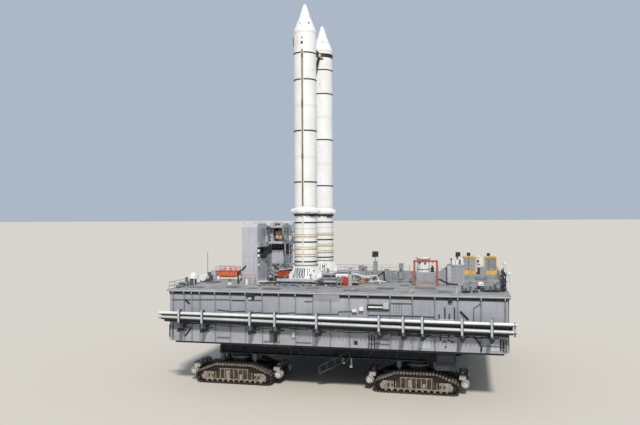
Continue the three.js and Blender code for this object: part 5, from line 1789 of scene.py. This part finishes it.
deck_block(20.75, 21.45, 14.5, 15.7, 0, 1.25, 0.04)
rod((20.85, 14.45, DECK + 2.45), (20.85, 14.62, DECK + 2.5), 0.2, 12)
done(dark_paint, smooth=30)

# Work lights: black floodlights in close clusters, bolted to galvanised steel poles with a foot
# plate.
LIGHTS = [
    (17.2, 13.2, 3.3, 0.44), (19.1, 16.9, 3.25, 0.34), (22.75, 16.9, 3.25, 0.3), (4.15, -3.2, 4.05, 0.5),
    (-22.6, 17.6, 3.4, 0.34),
]
poles = []
begin("work_lights")
for x, y, h, w in LIGHTS:
    poles.append([(x, y, DECK), (x, y, DECK + h)])
    poles.append([(x - w, y, DECK + h + w), (x + w, y, DECK + h + w)])
    for dx, dz in [(-0.52, 0), (0.5, 0.1), (-0.46, 1.02), (0.54, 1)]:
        cx, cz = x + dx * w, DECK + h + (0.5 + dz) * w
        block(cx - 0.44 * w, cx + 0.44 * w, y - 0.3, y + 0.12, cz - 0.42 * w, cz + 0.42 * w, 0.04)
        block(cx - 0.5 * w, cx + 0.5 * w, y - 0.36, y - 0.28, cz - 0.48 * w, cz + 0.48 * w, 0.02)
    crate(x, y, 0, 0.5, 0.5, 0.06)
done(rubber)
poles.append([(-23.6, -8.1, DECK), (-23.6, -8.1, DECK + 4.9)])
settle(strands("work_light_poles", poles, 0.07), pale_steel, smooth=40)

# Cabinets: grey switch cupboards right of the boosters, doors with handles and conduits down the
# side; a tall flushing column beside the red pump.
begin("deck_cabinets")
for x0, x1, y, h in [
    (1.95, 2.95, -4.9, 2.6), (3.2, 3.75, -4.7, 1.7), (4.45, 5.1, -1.4, 1.5), (7.9, 8.55, -1.6, 2.9),
    (5.45, 6.1, -1.3, 1.9), (3.82, 4.42, -3.1, 3.3), (7.5, 8.2, -1, 1.4), (21.05, 22.2, 8.1, 1.7),
    (-1, -0.2, 10.6, 1.6),
]:
    deck_block(x0, x1, y - 0.4, y + 0.4, 0.1, h, 0.04)
    for low, high in [(0.2, h * 0.55), (h * 0.58, h - 0.1)]:
        deck_block(x0 + 0.06, x1 - 0.06, y - 0.43, y - 0.38, low, high, 0.015)
    deck_block(x0 - 0.06, x1 + 0.06, y - 0.46, y + 0.46, h, h + 0.06, 0.02)
    deck_block(x1 - 0.16, x1 - 0.11, y - 0.47, y - 0.42, h * 0.3, h * 0.4)
    deck_block(x0 + 0.05, x1 - 0.05, y - 0.35, y + 0.35, 0, 0.12)
done(cabinet_paint)
begin("flushing_column")
deck_block(1.02, 1.52, -10.95, -10.4, 0.1, 2.75, 0.05)
deck_block(0.96, 1.58, -11, -10.35, 2.75, 2.85, 0.02)
deck_block(0.98, 1.56, -11, -10.35, 0, 0.14, 0.02)
for z in (0.9, 1.8):
    deck_block(0.98, 1.56, -10.98, -10.37, z, z + 0.06)
done(light_paint)
begin("cabinet_boxes")
for x, y, z, w, h in [
    (2.45, -5.36, 2, 0.4, 0.4), (8.2, -2.06, 1.6, 0.3, 0.5), (3.45, -5.15, 0.9, 0.25, 0.3),
    (1.27, -11.03, 1.95, 0.26, 0.4),
]:
    crate(x, y, z, w, 0.12, h, 0.02)
done(shaded_paint)

# Red pump and white manifold in front of the mount's right end: enamelled steel on low legs, with
# wooden crates, white pipes and black rubber hoses beside them.
begin("red_pump")
deck_block(0.12, 1.08, -10.9, -10.2, 0.12, 1.05, 0.07)
rod((0.2, -10.55, DECK + 1.15), (0.98, -10.55, DECK + 1.15), 0.2, 16)
deck_block(0.04, 1.12, -10.95, -10.15, 0, 0.12, 0.02)
done(red_paint, smooth=30)
begin("white_manifold")
rod((-1.1, -10.2, DECK + 1.55), (0.95, -10.2, DECK + 1.55), 0.24, 16)
for x in (-0.9, -0.3, 0.75):
    rod((x, -10.2, DECK + 1.45), (x, -10.55, DECK + 1.45), 0.12, 12)
    rod((x, -10.52, DECK + 1.45), (x, -10.6, DECK + 1.45), 0.18, 12)
done(white_box_paint, smooth=35)
begin("manifold_legs")
for x in (-0.9, -0.3, 0.75):
    deck_block(x - 0.07, x + 0.07, -10.3, -10.1, 0, 1.35)
done(cabinet_paint)
crate_wood = finish("weathered_crate_wood", "c29478", "a2745a", "4b3a2e", 0.25, 0.85, runs=0.3, grain=0.7)
begin("deck_crates")
for x0, x1, y0, y1, h in [
    (0.35, 1.15, -7.6, -6.8, 0.5), (1.3, 2.1, -7.7, -6.8, 0.7), (2.25, 2.9, -7.5, -6.8, 0.55),
    (2.75, 3.4, -5.7, -5.1, 0.6), (-13.2, -12.2, 8.9, 9.6, 0.6),
]:
    deck_block(x0, x1, y0, y1, 0.08, h, 0.02)
    for z in (0.12, h / 2, h - 0.16):
        deck_block(x0 - 0.03, x1 + 0.03, y0 - 0.03, y1 + 0.03, z, z + 0.1, 0.01)
    for x in (x0, x1):
        deck_block(x - 0.05, x + 0.05, y0 - 0.04, y1 + 0.04, 0, h + 0.02, 0.01)
done(crate_wood)
settle(strands("white_deck_pipes", [
    [(0.69, -6.4, DECK), (0.69, -6.4, 16.16), (1.6, -6.4, 15.95), (2.67, -6.4, 15.63), (3.52, -6.4, 15.65),
     (4.78, -6.3, 15.81), (5.3, -6.3, DECK)],
    [(1, -5.9, DECK), (1, -5.9, 15.5), (3.9, -5.9, 15.4), (3.9, -5.9, DECK)],
    [(3.6, -6.9, DECK + 0.35), (5.4, -7.2, DECK + 0.5), (6.2, -6.6, DECK + 0.3)],
], 0.11), white_box_paint, smooth=40)
settle(strands("black_deck_hoses", [
    [(3.57, -5, 14.72), (4.4, -5, 15.3), (5.77, -5, 16.3)], [(5.77, -5, 16.3), (5.9, -4.8, DECK)],
    [(14.9, -6.6, DECK + 0.9), (15.4, -6.8, DECK + 0.5), (16.6, -6.9, DECK + 0.12), (17.6, -6.7, DECK + 0.1)],
    [(14.4, -7.5, DECK + 1), (15.2, -7.4, DECK + 0.8), (16.2, -7.2, DECK + 0.14)],
    [(-11, -11.2, DECK + 0.1), (-8, -10.9, DECK + 0.12), (-4, -11.3, DECK + 0.1), (-1, -11, DECK + 0.12)],
    [(-13.2, -10.2, DECK + 0.1), (-12, -10.6, DECK + 0.3), (-10, -10.3, DECK + 0.1)],
], 0.12, curved=True), rubber, smooth=60)

# Pipe runs across the open deck: galvanised water pipes that lie on steel sleepers, with a flange
# beside each.
runs = []
begin("deck_pipe_sleepers")
for x0, x1, y, z in [
    (4.2, 10.4, -4.4, 0.35), (4.4, 14, 2.3, 0.4), (4, 14.4, 2.9, 0.4), (3.4, 15, 8.4, 0.3),
    (2.6, 16.4, 14.2, 0.35),
    (14.9, 24, 6.2, 0.3), (-9.5, -4.5, -12.3, 0.25), (5.2, 10, -2.4, 0.55), (19.2, 23.9, -3.2, 0.3),
]:
    runs.append([(x0, y, DECK), (x0, y, DECK + z), (x1, y, DECK + z), (x1, y, DECK)])
    count = round((x1 - x0) / 1.9)
    for k in range(count + 1):
        x = x0 + 0.3 + (x1 - x0 - 0.6) * k / count
        crate(x, y, 0, 0.16, 0.44, z - 0.08)
        rod((x + 0.3, y, DECK + z), (x + 0.38, y, DECK + z), 0.19, 12)
done(dull_steel, smooth=35)
settle(strands("deck_pipe_runs", runs, 0.12), pale_steel, smooth=40)

# Left end of the deck: a domed white tank, a white drum on its side, lockers and loose gear, in
# enamelled or galvanised steel, with a gangplank of wood.
begin("left_dome_tank")
DOME = (-23.98, -13, DECK)
turn([(0.1, 0.98), (0.74, 1), (0.72, 1.28), (0.6, 1.6), (0.4, 1.85), (0.18, 1.95), (0.04, 1.97)], *DOME,
     sides=40)
turn([(0.73, 0.94), (0.79, 0.95), (0.79, 1.06), (0.73, 1.07)], *DOME, sides=40, hollow=True)
for y in (-13.6, -12.8):
    for x in (-24.4, -23.6):
        crate(x, y, 0, 0.1, 0.1, 1)
done(white_box_paint, smooth=35)
begin("dome_tank_pump")
deck_block(-24.45, -23.55, -13.5, -12.7, 0, 0.9, 0.05)
deck_block(-24.7, -24.4, -13.3, -12.9, 0, 0.6, 0.03)
done(shaded_paint)
begin("left_drum")
for y0, y1, r in [(-9.3, -7.9, 0.52), (-9.24, -9.16, 0.57), (-8.64, -8.56, 0.57), (-8.04, -7.96, 0.57)]:
    rod((-24, y0, DECK + 0.72), (-24, y1, DECK + 0.72), r, 28)
done(white_box_paint, smooth=35)
begin("left_drum_cradle")
for y in (-8.9, -8.3):
    deck_block(-24.5, -23.5, y - 0.1, y + 0.1, 0, 0.45, 0.02)
for x, y, w, d, h in [
    (-24.1, -17.2, 0.6, 0.7, 0.8), (-23.95, -15.9, 0.7, 0.9, 0.7), (-24.15, -15.2, 0.35, 0.4, 1.35),
    (-23.7, -14.4, 0.5, 0.5, 0.75), (-24.1, -18.4, 0.5, 0.6, 0.45), (-23.8, -7, 0.5, 0.6, 1.5),
    (-23.7, -6.1, 0.4, 0.4, 0.9), (-20.4, -6.2, 0.3, 0.3, 0.35),
]:
    crate(x, y, 0, w, d, h, 0.04)
    deck_block(x - w / 4, x + w / 4, y - d / 2 - 0.08, y - d / 2 + 0.02, h * 0.4, h * 0.8, 0.02)
done(dull_steel)
begin("left_deck_locker")
deck_block(-24.45, -23.6, -4.7, -3.8, 0, 1.5, 0.05)
deck_block(-24.5, -23.55, -4.75, -3.75, 1.5, 1.58, 0.02)
for z in (0.25, 0.9):
    deck_block(-24.35, -23.7, -4.73, -4.68, z, z + 0.5, 0.02)
done(light_paint)
begin("stand_skid")
deck_block(-24.6, -20.2, -3, -2.82, 0, 0.28, 0.02)
deck_block(-24.6, -20.2, -0.78, -0.6, 0, 0.28, 0.02)
for x in (-24.2, -22.4, -20.6):
    deck_block(x - 0.1, x + 0.1, -2.9, -0.7, 0, 0.2)
done(cream)
begin("left_deck_clutter")
for x, y, w, d, h, lift in [
    (-23.2, -4.3, 0.5, 0.5, 0.6, 0), (-23.6, -1.8, 0.8, 0.9, 0.4, 1.4), (-22.5, -1.6, 0.7, 0.7, 0.6, 1.4),
    (-21.3, -1.9, 0.9, 0.6, 0.35, 1.4), (-19.7, -3.4, 0.7, 0.5, 0.6, 0), (-15.2, -12.2, 0.36, 0.4, 0.85, 0),
    (-12.2, -2, 0.6, 0.6, 0.3, 1.5), (-17.8, -12.9, 0.6, 0.4, 0.35, 0),
]:
    crate(x, y, lift, w, d, h, 0.05)
done(white_box_paint)
begin("near_deck_gear")
for k in range(26):
    x = -12.6 + 0.52 * k + 0.2 * math.sin(k * 3.7)
    y = -11.9 - 0.9 * ((k * 5) % 7) / 7 - (1.6 if k % 6 == 0 else 0)
    w, d, h = 0.25 + 0.1 * (k % 3), 0.25 + 0.08 * (k % 4), 0.1 + 0.1 * ((k * 3) % 4)
    if k % 3:
        crate(x, y, 0, w, d, h, 0.03)
    else:
        rod((x - w, y, DECK + 0.12), (x + w, y + 0.1, DECK + 0.12), 0.11, 12)
done(dull_steel, smooth=35)
WHITE_GEAR = [
    (-11.4, -12.2, 0.5, 0.2), (-9.9, -12.6, 0.3, 0.25), (-8.2, -12.1, 0.45, 0.2), (-6.1, -12.9, 0.35, 0.15),
    (-4.2, -12.2, 0.5, 0.25), (-2.2, -12.5, 0.3, 0.3),
]
RED_GEAR = [
    (-10.8, -12.8, 0.6, 0.16), (-5.3, -12.4, 0.4, 0.2), (-3.1, -14.6, 0.5, 0.2), (0.4, -12.9, 0.5, 0.16),
    (2.3, -13.4, 0.4, 0.2),
]
for colour, gear, paint, slot in [
    ("white", WHITE_GEAR, light_paint, "white_paint"),
    ("red", RED_GEAR, cover_cloth, "orange_paint"),
]:
    begin(f"near_deck_gear_{colour}")
    for x, y, w, h in gear:
        crate(x, y, 0, w, 0.4, h, 0.04)
    done(paint)
mark_paint = finish("scuffed_red_deck_marking", "b0604f", "97695c", "6c6660", 0.25, 0.85, runs=0.4, grain=0.6)
settle(strands("mast_rope_rail", [
    [(x, -11.1, DECK), (x, -11.1, DECK + 1.5)] for x in (-16.9, -16, -15.1, -14.2)
] + [[(-16.9, -11.1, DECK + z), (-14.2, -11.1, DECK + z), (-14.2, -10.6, DECK + z)] for z in (0.5, 1, 1.5)],
    0.035, rounds=0), cover_cloth)
settle(strands("mast_brace", [
    [(-17.3, y, DECK), (-17.3, y, DECK + 1.65), (-16, y, DECK + 2.9), (-16, y + 0.1, DECK + 2.9)]
    for y in (-10.6, -10.35)
], 0.07, rounds=0), dark_paint)
begin("painted_deck_marks")
for k in range(5):
    deck_block(10 + 0.46 * k, 10.06 + 0.46 * k, -18.75, -17.9, 0, 0.03)
for k in range(3):
    deck_block(10, 11.9, -18.75 + 0.4 * k, -18.69 + 0.4 * k, 0, 0.03)
deck_block(4.1, 5.1, -18.3, -17.7, 0, 0.02)
deck_block(-3, -2.2, -18.6, -18.1, 0, 0.02)
done(mark_paint)
begin("wood_gangplank")
deck_block(-14, -12.5, -10.3, -9.1, 0.3, 0.42, 0.02)
for x in (-13.9, -13.2, -12.6):
    deck_block(x - 0.06, x + 0.06, -10.2, -9.2, 0, 0.32)
done(cream)

# Right end of the deck: a white enamelled cabinet on a dark base, painted valve stands, and white
# hoses that curl over the edge.
begin("right_white_cabinet")
deck_block(20.6, 21.45, -12.4, -11.7, 0.5, 0.95, 0.05)
deck_block(20.7, 21.2, -12.3, -11.8, 0.9, 1.1, 0.05)
done(white_box_paint)
begin("right_cabinet_base")
deck_block(20.5, 21.35, -12.45, -11.65, 0, 0.5, 0.03)
for x0, x1, y in [
    (20.9, 23.6, -15.1), (21.3, 23.3, -15.6), (18.3, 19.5, -16.9), (18.5, 19.3, -17.5), (19.8, 20.6, -16.2),
]:
    rod((x0, y, DECK + 0.16), (x1, y, DECK + 0.16), 0.12, 12)
for x, y, h in [(23.75, -15, 3), (24.1, -15.1, 3.5), (24.4, -14.6, 2.6)]:
    crate(x, y, 0, 0.1, 0.1, h)
for x, z, w, h in [
    (24.05, 0.1, 0.5, 0.4), (24.15, 0.75, 0.4, 0.5), (24.2, 1.5, 0.3, 0.45), (23.8, 2.1, 0.25, 0.3),
    (24.15, 2.6, 0.3, 0.2), (23.8, 2.8, 0.2, 0.2),
]:
    crate(x, -15.075, z, w, 0.35, h, 0.03)
for z in (1.35, 2.45):
    deck_block(23.7, 24.45, -15.05, -14.95, z, z + 0.07)
done(dark_paint, smooth=30)
begin("valve_stands")
for x, y, h in [
    (18.4, -16.3, 0.9), (18.9, -16.8, 0.6), (19.5, -16.4, 0.8), (20.2, -17, 0.7), (20.6, -12.1, 0.35),
    (21.4, -12.1, 0.35), (22.3, -15.6, 0.8), (23, -15.3, 1), (23.6, -15, 2.2), (24, -14.2, 3.2),
    (24.4, -13.4, 2.6),
    (23.9, -12.4, 1.6), (22.9, -13.1, 0.9),
]:
    crate(x, y, 0, 0.18, 0.18, h)
    crate(x, y, h * 0.8, 0.4, 0.32, h * 0.2, 0.03)
    rod((x - 0.28, y, DECK + h * 0.5), (x + 0.28, y, DECK + h * 0.5), 0.09, 10)
done(shaded_paint, smooth=30)
settle(strands("deck_edge_hoses", [
    [(24.1, -14, DECK + 3.9), (24.6, -14, DECK + 3.4), (25, -14, DECK + 2.5), (25.25, -14, DECK + 1.6),
     (24.9, -14, DECK + 0.5), (24.5, -14, DECK + 0.1)],
    [(24, -14.3, DECK + 3.2), (24.5, -14.3, DECK + 2.3), (24.8, -14.3, DECK + 2.6), (25.1, -14.2, DECK + 2),
     (24.9, -14.2, DECK + 1.1)],
], 0.075, curved=True), white_box_paint, smooth=60)
begin("hose_couplings")
for x, z, w, h in [
    (24.3, 3.85, 0.34, 0.34), (24.15, 3.5, 0.25, 0.2), (24.6, 3.65, 0.2, 0.16), (24.95, 2.35, 0.42, 0.34),
    (24.8, 2.1, 0.25, 0.3), (25.15, 2.55, 0.2, 0.16),
]:
    crate(x, -14.1, z, w, 0.4, h, 0.06)
done(white_box_paint, smooth=40)
